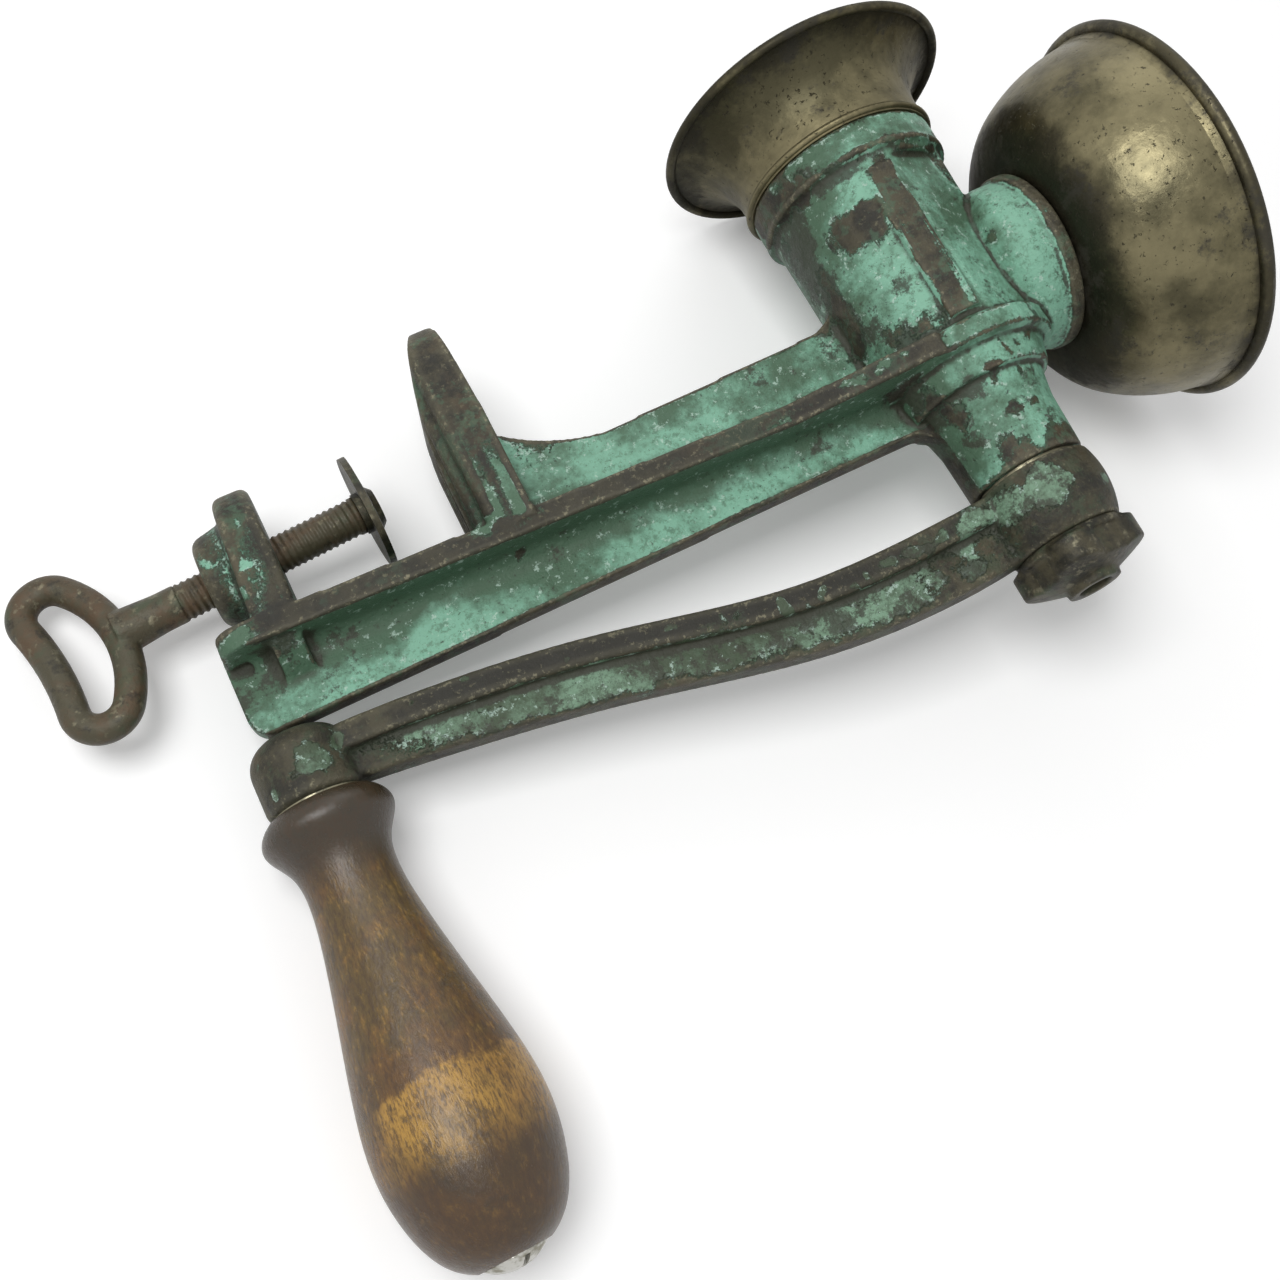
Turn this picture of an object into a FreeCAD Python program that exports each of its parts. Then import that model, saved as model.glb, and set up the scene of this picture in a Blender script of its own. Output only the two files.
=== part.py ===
import FreeCAD, Part
import math
import os

# Table clamp spice mill, in millimetres.
# X is to the right of someone who stands at the crank, Y runs from the outlet
# funnel to the crank, Z is up. The origin is the middle of the jaw's lower
# face, which rests on the table top.

Vector = FreeCAD.Vector
X_AXIS = Vector(1, 0, 0)
Y_AXIS = Vector(0, 1, 0)
Z_AXIS = Vector(0, 0, 1)

# Main places
shaft_height = 110.5        # shaft axis above the jaw's lower face
crank_radius = 158.5        # shaft axis to grip axis
screw_y = -6.5              # clamp screw axis in the ear, towards the funnel
screw_lean = 3.4            # degrees that the screw's top leans to the funnel

# Clearances and fits
running_gap = 0.06          # radial gap of a turning fit
seat_gap = 0.04             # radial gap of a seat that doesn't turn
face_gap = 0.3              # end gap between parts that turn against each other
burr_gap = 0.4              # grinding gap between the toothed cones
washer_gap = 0.05           # play on each side of a loose washer
seated_gap = 0.02           # parts that bear on each other along an axis

# Barrel, neck and hub of the body casting
lip_front = -36.5           # front face of the barrel's lip
lip_radius = 22.3
lip_length = 4.7
bead_radius = 22.4          # ring behind the lip
bead_width = 2.8
bead_groove = 1.1           # depth of the groove on each side of the ring
barrel_front_radius = 20.7
barrel_back_radius = 19.8
back_plate_y = 14.4         # front face of the round back plate
back_plate_radius = 21.0
back_plate_thickness = 4.6
rear_body_radius = 18.2
rear_body_end_radius = 16.6
rear_body_end = 25.0
hub_step_radius = 14.8
hub_waist_y = 32.0
hub_radius = 13.0
hub_end = 44.5
flat_distance = 18.6        # side flats below the neck, from the shaft axis
flat_angle = 33.5           # how far the flats' normals tilt up from X
neck_radius = 19.3
neck_height = 28.5          # neck's top face above the shaft axis
neck_waist_radius = 13.0    # the neck's underside draws in to this on the flats
neck_waist_height = 13.7
neck_belly_height = 21.0    # where the neck has its full radius
neck_flange_radius = 20.2
neck_flange_height = 3.0
neck_bore = 10.0
strip_width_angle = 19.0    # raised bare strip along the barrel's side
strip_mid_angle = -3.5
strip_height = 0.5
strip_front = -25.5
strip_back = 12.5

# Bores of the body casting
spigot_radius = 19.6        # funnel spigot's seat
spigot_depth = 6.0
burr_seat_radius = 17.5
burr_seat_end = -8.5
chamber_radius = 15.6
chamber_end = 13.2
bush_radius = 8.2

# Beam: a flange across the mill and a web along it
flange_half_width = 13.0
flange_thickness = 4.8
flange_mid_y = 16.6         # middle of the flange at the shaft's height
flange_lean = 2.1           # degrees that the flange leans towards the crank
flange_bottom = -164.2      # below the shaft axis
flange_corner = 5.0
flange_flare_low = -42.0    # where the flange starts to widen to the plate
flange_flare_high = -9.0
flange_flare_half = 19.8
web_thickness = 5.0
web_outer_y = 26.5          # crank side edge of the web at the hub
web_foot_y = 28.0           # and at the beam's foot
web_corner = 4.5
web_bottom = -164.6
web_fillet = 6.0
web_inner_y = -2.3          # throat side edge of the web
web_inner_top_y = -3.6
beam_fillet = 4.5

# Fixed jaw
jaw_half_width = 14.0
jaw_reach = -39.5           # tip of the tongue
jaw_root_thickness = 12.6
jaw_top_drop = 1.2          # fall of the upper face towards the tip
jaw_tip_round = 2.4
jaw_nose_rise = 7.2         # the nose curves up from the table by this
jaw_flat_end = -8.0         # where the flat ends and the nose starts to rise
jaw_relief = 1.2            # cut back in the corner between jaw and flange
jaw_flat_half = 5.6         # half width of the flat middle
jaw_side_rise = 5.6         # the sides curve up by this
jaw_gusset_y = -12.6        # where the web's gusset meets the tongue
jaw_gusset_height = 22.0
rib_count = 9
rib_depth = 1.1
rib_crest = 1.3             # flat width of each rib

# Ear that carries the clamp screw
ear_top = -146.9            # below the shaft axis
ear_thickness = 9.2
ear_half_width = 13.0
ear_centre_y = -9.2
ear_boss_radius = 10.2
ear_boss_bottom = -161.5
ear_boss_round = 2.6
ear_draft = 1.8             # the ear is thinner at its tip by this
ear_edge = 1.8
ear_rib_y = 20.0            # rib that carries the ear across the web
ear_rib_thickness = 6.0

# Hopper bowl
bowl_wall = 1.1
bowl_foot_blend = 16.0
bowl_radius = 41.2
bowl_centre_height = 57.9   # centre of the bowl's sphere above the shaft axis
bowl_wall_top = 53.9
bowl_rim_height = 58.9
bowl_rim_radius = 43.8
bowl_bead = 1.6             # radius of the rolled rim
bowl_screw_count = 3
bowl_screw_circle = 16.9
bowl_screw_radius = 1.6
bowl_screw_length = 8.0
bowl_screw_head = 2.6
bowl_screw_head_height = 1.6

# Outlet funnel
funnel_wall = 1.1
funnel_throat_radius = 22.6
funnel_throat_length = 5.5
funnel_ring = 0.8           # height of the ring at the throat
funnel_rim_radius = 34.7
funnel_depth = 18.7         # lip to rim
funnel_bead = 1.1

# Shaft, worm and burrs
shaft_radius = 6.0
shaft_seat = 4.6            # half width of the square seats
shaft_tail_radius = 3.6
shaft_tail_end = 69.0
shaft_nose_radius = 3.4
bush_wall_inner = shaft_radius + running_gap
thrust_washer_thickness = 1.2
thrust_washer_radius = 12.0
worm_core_radius = 8.6
worm_radius = 14.9
worm_length = 20.0
worm_turn = 300.0           # degrees that the flights wind over the length
worm_starts = 2
worm_steps = 10
ring_length = 20.5
burr_front = -29.2
ring_back_radius = 11.2
ring_front_radius = 14.6
burr_tooth_depth = 1.1
rotor_length = 19.5
rotor_teeth = 20
ring_teeth = 24
rotor_twist = 14.0
nose_nut_width = 11.0
nose_nut_height = 4.6
nose_washer_radius = 7.4
nose_washer_thickness = 1.2
worm_pin_radius = 1.5

# Crank
crank_boss_radius = 14.1    # at the fullest part of its bulged side
crank_boss_length = 15.7
crank_boss_back_radius = 13.2
crank_boss_front_radius = 11.9
hub_washer_thickness = 0.8
hub_washer_radius = 11.5
grip_boss_radius = 9.9
grip_boss_back_wall = 3.0   # the grip's boss stands past the arm by this at the back
grip_boss_front_wall = 0.8  # and by this at the grip
grip_boss_round = 5.6
grip_boss_front_round = 1.8
arm_bow = 1.4               # how far the arm stands out past the crank's back face
arm_drop = 13.2             # how far its lower end lies back towards the beam
arm_depth = 15.2            # across the arm along Y at the bow
arm_taper = 4.1             # lost from that depth at the grip
arm_half_width = 6.2
arm_stem_half_width = 3.6
arm_rail_depth = 5.6
arm_edge = 1.2
# Along the arm: share of the crank's radius, of the bow, of the drop, of the taper
arm_stations = [
    (0.050, 0.14, 0.000, 0.100),
    (0.190, 1.00, 0.000, 0.000),
    (0.353, 0.50, 0.000, 0.270),
    (0.606, 0.00, 0.553, 0.415),
    (0.808, 0.00, 0.901, 0.634),
    (0.946, 0.00, 1.000, 1.000),
]

# Lobed nut
nut_base_radius = 12.2
nut_base_thickness = 1.8
nut_lobe_radius = 5.6
nut_lobe_circle = 8.3
nut_edge_height = 6.4       # where the conical front meets the lobes' sides
nut_cone_height = 9.3      # where it meets the collar
nut_core_radius = 11.0
nut_collar_radius = 6.0
nut_height = 10.8
nut_lobes = 4
nut_turn = 66.0             # rest angle of the first lobe, up from X

# Grip and its spindle
grip_washer_thickness = 0.4
grip_washer_radius = 9.4
grip_length = 87.7
grip_bead_radius = 13.1
grip_waist_radius = 9.1
grip_belly_radius = 16.9
grip_end_radius = 7.0
# Along the grip's side: share of its length, then a radius and a share of the next one
grip_stations = [
    (0.0000, "waist", "bead", 0.42), (0.0080, "waist", "bead", 0.62),
    (0.0220, "waist", "bead", 0.86), (0.0450, "waist", "bead", 1.00),
    (0.0780, "waist", "bead", 0.70), (0.1180, "waist", "bead", 0.20),
    (0.1760, "waist", "bead", 0.00), (0.2800, "waist", "belly", 0.115),
    (0.4300, "waist", "belly", 0.436), (0.5920, "waist", "belly", 0.808),
    (0.7310, "waist", "belly", 1.000), (0.8700, "end", "belly", 0.842),
    (0.9660, "end", "belly", 0.410), (1.0000, "end", "belly", 0.000),
]
spindle_radius = 3.6
spindle_inset = 4.0         # wall left behind the spindle in the crank's boss
spindle_head_radius = 6.1
spindle_head_edge = 2.4     # straight side of the head, sunk in the grip's end
spindle_head_dome = 2.2     # height of its dome
end_washer_radius = 5.9
end_washer_thickness = 0.7
end_pocket_depth = 3.3      # pocket for washer and head in the grip's end
end_pocket_gap = 0.3        # round the head in that pocket
slot_width = 1.1
slot_depth = 1.6
slot_turn = -25.0

# Clamp screw and pad
screw_radius = 4.0
screw_top = -128.6          # shoulder under the pad, below the shaft axis
nose_radius = 1.8
pad_radius = 12.0
pad_edge = 1.4
pad_hub_radius = 4.4
pad_height = 4.3            # hub's lower end to the top of the boss
pad_dish = 0.7              # the disc's rim lies lower than its middle by this
pad_boss_radius = 3.6
pad_boss_foot = 4.8
pad_boss_height = 1.2
pad_gap = 0.1               # end play of the pad on the screw's nose
rivet_radius = 2.5          # riveted end of the nose, sunk in the boss
rivet_height = 0.8
loop_rod_radius = 3.1
loop_lobe_radius = 5.4      # bends at the two ends of the bean shaped loop
loop_half_span = 11.8       # loop's middle to the middle of each end bend
loop_rise = 9.2             # loop's middle to the line of its long bowed side
loop_dip = 4.4              # loop's middle to the line of its flatter side
loop_centre = -190.1        # loop's middle, below the shaft axis
loop_offset = 0.5           # the loop sits a little off the screw's line
loop_tilt = 5.5
loop_turn = 8.0             # loop's rest angle about the screw
neck_swell = 0.7            # the shank swells by this towards the loop


def shaft_point(x, y, z):
    """A point given from the shaft axis, in the part's frame."""
    return Vector(x, y, z + shaft_height)


def cylinder_y(y_start, y_end, radius, x=0.0, z=0.0):
    base = shaft_point(x, y_start, z)
    return Part.makeCylinder(radius, y_end - y_start, base, Y_AXIS)


def cylinder_z(z_start, z_end, radius, x=0.0, y=0.0):
    base = shaft_point(x, y, z_start)
    return Part.makeCylinder(radius, z_end - z_start, base, Z_AXIS)


def revolve_y(edges, x=0.0, z=0.0):
    """Solid of revolution about a line along Y; edges are drawn at (r, y)."""
    face = Part.Face(Part.Wire(edges))
    face.translate(shaft_point(x, 0, z))
    return face.revolve(shaft_point(x, 0, z), Y_AXIS, 360)


def revolve_z(edges, y=0.0):
    """Solid of revolution about a vertical line; edges are drawn at (r, z)."""
    face = Part.Face(Part.Wire(edges))
    face.translate(shaft_point(0, y, 0))
    return face.revolve(shaft_point(0, y, 0), Z_AXIS, 360)


def radial_y(radius, y):
    return Vector(radius, y, 0)


def radial_z(radius, z):
    return Vector(radius, 0, z)


def line(start, end):
    return Part.LineSegment(start, end).toShape()


def arc(start, middle, end):
    return Part.Arc(start, middle, end).toShape()


def chain(points):
    """Closed run of straight edges."""
    ends = points[1:] + points[:1]
    return [line(a, b) for a, b in zip(points, ends)]


def turned_y(points, x=0.0, z=0.0):
    return revolve_y(chain([radial_y(r, y) for r, y in points]), x, z)


def side_plate(edges, half_width):
    """Plate drawn in the YZ plane, centred on X."""
    face = Part.Face(Part.Wire(edges))
    face.translate(shaft_point(-half_width, 0, 0))
    return face.extrude(X_AXIS * (2 * half_width))


def rounded(solid, radius, test):
    """Fillet the edges that the test picks."""
    edges = [edge for edge in solid.Edges if test(edge)]
    return solid.makeFillet(radius, edges)


def flange_y(z):
    """Middle of the leaning flange at a height from the shaft axis."""
    return flange_mid_y + z * math.tan(math.radians(flange_lean))


def square_bar_y(y_start, y_end, half):
    base = shaft_point(-half, y_start, -half)
    return Part.makeBox(2 * half, y_end - y_start, 2 * half, base)


# Body casting

def barrel_and_hub():
    """Barrel, back plate, rear body and bearing hub, turned about the shaft."""
    lip_back = lip_front + lip_length
    bead_front = lip_back + 0.4
    bead_back = bead_front + bead_width
    plate_back = back_plate_y + back_plate_thickness
    groove_radius = lip_radius - bead_groove
    points = [
        (0, lip_front),
        (lip_radius, lip_front),
        (lip_radius, lip_back),
        (groove_radius, bead_front),
        (bead_radius, bead_front + 0.3 * bead_width),
        (bead_radius, bead_front + 0.7 * bead_width),
        (barrel_front_radius, bead_back),
        (barrel_back_radius, back_plate_y),
        (back_plate_radius, back_plate_y),
        (back_plate_radius, plate_back),
        (rear_body_radius, plate_back + 0.6),
        (rear_body_end_radius, rear_body_end),
        (hub_step_radius, rear_body_end),
        (hub_radius + 0.4, hub_waist_y),
        (hub_radius, hub_end),
        (0, hub_end),
    ]
    solid = turned_y(points)
    flats_front = bead_back + 1.0
    for side in (-1, 1):
        solid = solid.cut(side_flat(side, flats_front, back_plate_y))
    return solid


def side_flat(side, y_start, y_end):
    """Wedge that planes one side flat off the barrel, under the neck."""
    depth = 6.0
    height = 18.0
    block = Part.makeBox(depth, y_end - y_start, height)
    block.translate(Vector(flat_distance, y_start, -0.5 * height))
    block.rotate(Vector(0, 0, 0), Y_AXIS, -flat_angle)
    if side < 0:
        block = block.mirror(Vector(0, 0, 0), X_AXIS)
    block.translate(Vector(0, 0, shaft_height))
    return block


def raised_strip():
    """Bare raised strip along the barrel's side."""
    outer = cylinder_y(strip_front, strip_back, barrel_front_radius + strip_height)
    reach = 2 * lip_radius
    low = math.radians(strip_mid_angle - 0.5 * strip_width_angle)
    high = math.radians(strip_mid_angle + 0.5 * strip_width_angle)
    corners = [
        shaft_point(0, strip_front, 0),
        shaft_point(reach * math.cos(low), strip_front, reach * math.sin(low)),
        shaft_point(reach * math.cos(high), strip_front, reach * math.sin(high)),
    ]
    wedge = Part.Face(Part.Wire(chain(corners)))
    wedge = wedge.extrude(Y_AXIS * (strip_back - strip_front))
    return outer.common(wedge)


def neck():
    """Neck under the hopper: drawn in on the flats below, with a worn flange."""
    flange_low = neck_height - neck_flange_height
    waist = radial_z(neck_waist_radius, neck_waist_height)
    belly = radial_z(neck_radius, neck_belly_height)
    swell = 0.14 * (neck_belly_height - neck_waist_height)
    middle = (waist + belly) * 0.5 + radial_z(swell, -swell)
    step = radial_z(neck_radius, flange_low - 0.6)
    edges = [
        line(radial_z(0, 0), radial_z(neck_waist_radius, 0)),
        line(radial_z(neck_waist_radius, 0), waist),
        arc(waist, middle, belly),
        line(belly, step),
        line(step, radial_z(neck_flange_radius, flange_low)),
        line(radial_z(neck_flange_radius, flange_low), radial_z(neck_flange_radius, neck_height)),
        line(radial_z(neck_flange_radius, neck_height), radial_z(0, neck_height)),
        line(radial_z(0, neck_height), radial_z(0, 0)),
    ]
    return rounded(revolve_z(edges), 0.8, is_neck_rim)


def is_neck_rim(edge):
    box = edge.BoundBox
    return (box.ZLength < 0.01 and abs(box.ZMax - shaft_height - neck_height) < 0.01
            and box.XLength > neck_flange_radius)


def flange():
    """Leaning flange of the beam, flared to the back plate's width."""
    half = flange_half_width
    flare = flange_flare_half
    low = flange_flare_low
    high = flange_flare_high
    bottom = flange_bottom
    corners = [
        (-flare, high), (-half, low), (-half, bottom),
        (half, bottom), (half, low), (flare, high),
    ]
    front = flange_mid_y - 0.5 * flange_thickness
    outline = chain([Vector(x, front, z) for x, z in corners])
    solid = Part.Face(Part.Wire(outline)).extrude(Y_AXIS * flange_thickness)
    solid = rounded(solid, flange_corner, is_bottom_corner)
    solid.rotate(Vector(0, flange_mid_y, 0), X_AXIS, -flange_lean)
    solid.translate(Vector(0, 0, shaft_height))
    return solid


def is_bottom_corner(edge):
    box = edge.BoundBox
    return box.ZMax < flange_bottom + 0.01 and box.XLength < 0.01


def crank_side_web():
    """Deep web behind the flange, from the hub to the beam's foot."""
    hub_under = -hub_radius
    foot = web_bottom
    outer = web_outer_y
    foot_y = web_foot_y
    top_y = outer + web_fillet
    low_z = hub_under - web_fillet
    bend = web_fillet * (1 - math.sqrt(0.5))
    corner = web_corner * (1 - math.sqrt(0.5))
    inner_y = flange_mid_y - 4.0
    edges = [
        line(Vector(0, inner_y, -6), Vector(0, top_y, -6)),
        line(Vector(0, top_y, -6), Vector(0, top_y, hub_under)),
        arc(Vector(0, top_y, hub_under),
            Vector(0, outer + bend, hub_under - bend),
            Vector(0, outer, low_z)),
        line(Vector(0, outer, low_z), Vector(0, foot_y, foot + web_corner)),
        arc(Vector(0, foot_y, foot + web_corner),
            Vector(0, foot_y - corner, foot + corner),
            Vector(0, foot_y - web_corner, foot)),
        line(Vector(0, foot_y - web_corner, foot), Vector(0, flange_y(foot), foot)),
        line(Vector(0, flange_y(foot), foot), Vector(0, inner_y, -6)),
    ]
    return side_plate(edges, 0.5 * web_thickness)


def throat_side_web():
    """Shallow web in front of the flange, swept into the jaw and the barrel."""
    jaw_top = -shaft_height + jaw_root_thickness
    gusset_top = jaw_top + jaw_gusset_height
    barrel_under = -barrel_back_radius
    inner = web_inner_y
    edges = [
        line(Vector(0, flange_y(jaw_top), jaw_top - 4), Vector(0, jaw_gusset_y, jaw_top - 4)),
        line(Vector(0, jaw_gusset_y, jaw_top - 4), Vector(0, jaw_gusset_y, jaw_top)),
        arc(Vector(0, jaw_gusset_y, jaw_top),
            Vector(0, jaw_gusset_y + 6.4, jaw_top + 0.42 * jaw_gusset_height),
            Vector(0, inner, gusset_top)),
        line(Vector(0, inner, gusset_top), Vector(0, web_inner_top_y, barrel_under - 6)),
        arc(Vector(0, web_inner_top_y, barrel_under - 6),
            Vector(0, web_inner_top_y - 2.6, barrel_under - 0.6),
            Vector(0, web_inner_top_y - 8.5, barrel_under + 3.5)),
        line(Vector(0, web_inner_top_y - 8.5, barrel_under + 3.5),
             Vector(0, flange_mid_y, barrel_under + 3.5)),
        line(Vector(0, flange_mid_y, barrel_under + 3.5),
             Vector(0, flange_y(jaw_top), jaw_top - 4)),
    ]
    return side_plate(edges, 0.5 * web_thickness)


def corner_bars():
    """Cast fillets in the long corners between the flange and the webs."""
    half_web = 0.5 * web_thickness
    bend = beam_fillet * (1 - math.sqrt(0.5))
    sink = 0.4
    bars = []
    for side in (-1, 1):
        for way, top in ((-1, -barrel_back_radius), (1, -rear_body_radius)):
            low = flange_bottom + flange_corner
            if way < 0:
                low = jaw_root_thickness - shaft_height
            face_y = flange_mid_y + way * 0.5 * flange_thickness
            inner = Vector(side * (half_web - sink), face_y - way * sink, low)
            on_web = Vector(side * (half_web - sink), face_y + way * beam_fillet, low)
            web_end = Vector(side * half_web, face_y + way * beam_fillet, low)
            middle = Vector(side * (half_web + bend), face_y + way * bend, low)
            flange_end = Vector(side * (half_web + beam_fillet), face_y, low)
            on_flange = Vector(side * (half_web + beam_fillet), face_y - way * sink, low)
            outline = [
                line(inner, on_web), line(on_web, web_end), arc(web_end, middle, flange_end),
                line(flange_end, on_flange), line(on_flange, inner),
            ]
            bars.append(Part.Face(Part.Wire(outline)).extrude(Z_AXIS * (top - low)))
    bars = Part.Compound(bars)
    bars.rotate(Vector(0, flange_mid_y, 0), X_AXIS, -flange_lean)
    bars.translate(Vector(0, 0, shaft_height))
    return bars


def beam():
    """Flange and webs with the cast fillets of their long inner corners."""
    return flange().fuse([crank_side_web(), throat_side_web(), corner_bars()])


def jaw():
    """Tongue that rests on the table, ribbed underneath and thinner at the tip."""
    under = -shaft_height
    root_top = under + jaw_root_thickness
    tip_top = root_top - jaw_top_drop
    tip = jaw_reach
    nose_z = under + jaw_nose_rise
    root_y = flange_y(under)
    face_y = root_y - 0.5 * flange_thickness
    relieved = under + jaw_relief
    flat_start = face_y - jaw_relief
    flat_end = jaw_flat_end
    sag = 0.28 * jaw_nose_rise
    edges = [
        line(Vector(0, root_y, relieved), Vector(0, face_y, relieved)),
        line(Vector(0, face_y, relieved), Vector(0, flat_start, under)),
        line(Vector(0, flat_start, under), Vector(0, flat_end, under)),
        arc(Vector(0, flat_end, under),
            Vector(0, 0.5 * (flat_end + tip), under + sag),
            Vector(0, tip, nose_z)),
        line(Vector(0, tip, nose_z), Vector(0, tip, tip_top - jaw_tip_round)),
        line(Vector(0, tip, tip_top - jaw_tip_round), Vector(0, tip + jaw_tip_round, tip_top)),
        line(Vector(0, tip + jaw_tip_round, tip_top), Vector(0, jaw_gusset_y, root_top)),
        line(Vector(0, jaw_gusset_y, root_top), Vector(0, root_y, root_top)),
        line(Vector(0, root_y, root_top), Vector(0, root_y, relieved)),
    ]
    side = side_plate(edges, jaw_half_width)
    plan = cylinder_z(under, root_top, jaw_half_width, 0, tip + jaw_half_width)
    block = Part.makeBox(2 * jaw_half_width, root_y - tip - jaw_half_width,
                         jaw_root_thickness,
                         shaft_point(-jaw_half_width, tip + jaw_half_width, under))
    plan = plan.fuse(block).removeSplitter()
    return side.common(plan).common(ribbed_bar(tip, root_y))


def jaw_under_height(x):
    """Height of the jaw's lower face, which curves up at both sides."""
    past_flat = max(0.0, abs(x) - jaw_flat_half)
    return jaw_side_rise * (past_flat / (jaw_half_width - jaw_flat_half)) ** 2


def ribbed_bar(y_start, y_end):
    """Bar along Y whose lower face has lengthwise ribs."""
    pitch = 2 * jaw_half_width / rib_count
    points = [(-jaw_half_width, jaw_root_thickness)]
    for index in range(rib_count):
        middle = -jaw_half_width + (index + 0.5) * pitch
        for x in (middle - 0.5 * rib_crest, middle + 0.5 * rib_crest):
            points.append((x, jaw_under_height(x)))
        if index < rib_count - 1:
            groove = middle + 0.5 * pitch
            points.append((groove, jaw_under_height(groove) + rib_depth))
    points.append((jaw_half_width, jaw_root_thickness))
    outline = chain([Vector(x, y_start, z) for x, z in points])
    return Part.Face(Part.Wire(outline)).extrude(Y_AXIS * (y_end - y_start))


def ear():
    """Rounded lug with a boss round the clamp screw."""
    top = ear_top
    under = top - ear_thickness
    root_y = flange_y(top)
    lug = cylinder_z(under, top, ear_half_width, 0, ear_centre_y)
    block = Part.makeBox(2 * ear_half_width, root_y - ear_centre_y, ear_thickness,
                         shaft_point(-ear_half_width, ear_centre_y, under))
    lug = lug.fuse(block).removeSplitter()
    tip_y = ear_centre_y - ear_half_width - 1
    corners = [Vector(0, root_y, under), Vector(0, tip_y, under), Vector(0, tip_y, under + ear_draft)]
    lug = lug.cut(side_plate(chain(corners), ear_half_width + 1))
    lug = rounded(lug, ear_edge, is_ear_rim)
    boss = Part.makeCone(ear_boss_radius - 1.0, ear_boss_radius + 0.6,
                         under + ear_draft - ear_boss_bottom,
                         shaft_point(0, screw_y, ear_boss_bottom), Z_AXIS)
    boss = rounded(boss, ear_boss_round, is_top_circle(ear_boss_bottom))
    rib_low = top - 0.5 * (ear_thickness + ear_rib_thickness)
    corners = [
        (-ear_half_width, root_y), (ear_half_width, root_y),
        (0.5 * web_thickness, ear_rib_y), (-0.5 * web_thickness, ear_rib_y),
    ]
    outline = chain([shaft_point(x, y, rib_low) for x, y in corners])
    rib = Part.Face(Part.Wire(outline)).extrude(Z_AXIS * ear_rib_thickness)
    return lug.fuse([boss, rib])


def is_ear_rim(edge):
    box = edge.BoundBox
    flat = box.ZLength < ear_draft + 0.01
    at_flange = abs(box.YMin - flange_y(ear_top)) < 0.01 and box.YLength < 0.01
    return flat and not at_flange


def casting_bores():
    """Everything bored out of the casting along the shaft and down the neck."""
    points = [
        (0, lip_front - 1),
        (spigot_radius, lip_front - 1),
        (spigot_radius, lip_front + spigot_depth),
        (burr_seat_radius, lip_front + spigot_depth),
        (burr_seat_radius, burr_seat_end),
        (chamber_radius, burr_seat_end),
        (chamber_radius, chamber_end),
        (bush_radius, chamber_end),
        (bush_radius, hub_end + 1),
        (0, hub_end + 1),
    ]
    shaft_bore = turned_y(points)
    throat = cylinder_z(0, neck_height + 1, neck_bore)
    screw_hole = leaned(cylinder_z(ear_boss_bottom - 3, ear_top + 3,
                                   screw_radius + running_gap, 0, screw_y))
    cuts = [shaft_bore, throat, screw_hole]
    for x, y in bowl_screw_places():
        cuts.append(cylinder_z(neck_height - bowl_screw_length, neck_height + 1,
                               bowl_screw_radius + seat_gap, x, y))
    return cuts


def leaned(solid):
    """Lean a piece of the clamp about the middle of the ear."""
    pivot = shaft_point(0, screw_y, ear_top - 0.5 * ear_thickness)
    solid.rotate(pivot, X_AXIS, screw_lean)
    return solid


def bowl_screw_places():
    places = []
    for index in range(bowl_screw_count):
        angle = math.radians(90 + 360 * index / bowl_screw_count)
        places.append((bowl_screw_circle * math.cos(angle), bowl_screw_circle * math.sin(angle)))
    return places


def body_casting():
    solid = barrel_and_hub()
    solid = solid.fuse([neck(), raised_strip(), beam(), jaw(), ear()])
    solid = solid.cut(casting_bores())
    return solid.removeSplitter()


# Hopper and outlet

def bowl_outline(inset):
    """Edges of the bowl's section from its foot to the rim, moved in by inset."""
    foot = neck_height + inset
    blend = bowl_foot_blend - inset
    radius = bowl_radius - inset
    centre = bowl_centre_height
    rise = centre - neck_height - bowl_foot_blend
    run = math.sqrt((bowl_radius - bowl_foot_blend) ** 2 - rise ** 2)
    blend_z = neck_height + bowl_foot_blend
    join_angle = math.atan2(-rise, run)
    half_angle = 0.5 * (join_angle - 0.5 * math.pi)
    foot_end = radial_z(run, foot)
    blend_mid = radial_z(run + blend * math.cos(half_angle), blend_z + blend * math.sin(half_angle))
    join = radial_z(radius * math.cos(join_angle), centre + radius * math.sin(join_angle))
    top_angle = math.asin((bowl_wall_top - centre) / radius)
    wall_angle = 0.5 * (top_angle + join_angle)
    wall_mid = radial_z(radius * math.cos(wall_angle), centre + radius * math.sin(wall_angle))
    wall_top = radial_z(radius * math.cos(top_angle), bowl_wall_top)
    return foot_end, blend_mid, join, wall_mid, wall_top


def bowl_solid(inset, top):
    foot_end, blend_mid, join, wall_mid, wall_top = bowl_outline(inset)
    rim = radial_z(bowl_rim_radius - bowl_bead - inset, top)
    edges = [
        line(radial_z(0, foot_end.z), foot_end),
        arc(foot_end, blend_mid, join),
        arc(join, wall_mid, wall_top),
        line(wall_top, rim),
        line(rim, radial_z(0, top)),
        line(radial_z(0, top), radial_z(0, foot_end.z)),
    ]
    return revolve_z(edges)


def hopper_bowl():
    """Spun brass bowl with a rolled rim."""
    rim_z = bowl_rim_height - bowl_bead
    solid = bowl_solid(0, rim_z).cut(bowl_solid(bowl_wall, rim_z))
    bead = Part.makeTorus(bowl_rim_radius - bowl_bead, bowl_bead, shaft_point(0, 0, rim_z), Z_AXIS)
    solid = solid.fuse(bead)
    holes = [cylinder_z(neck_height - 1, neck_height + bowl_wall + 1, neck_bore)]
    for x, y in bowl_screw_places():
        holes.append(cylinder_z(neck_height - 1, neck_height + bowl_wall + 1,
                                bowl_screw_radius + seat_gap, x, y))
    return solid.cut(holes).removeSplitter()


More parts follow.
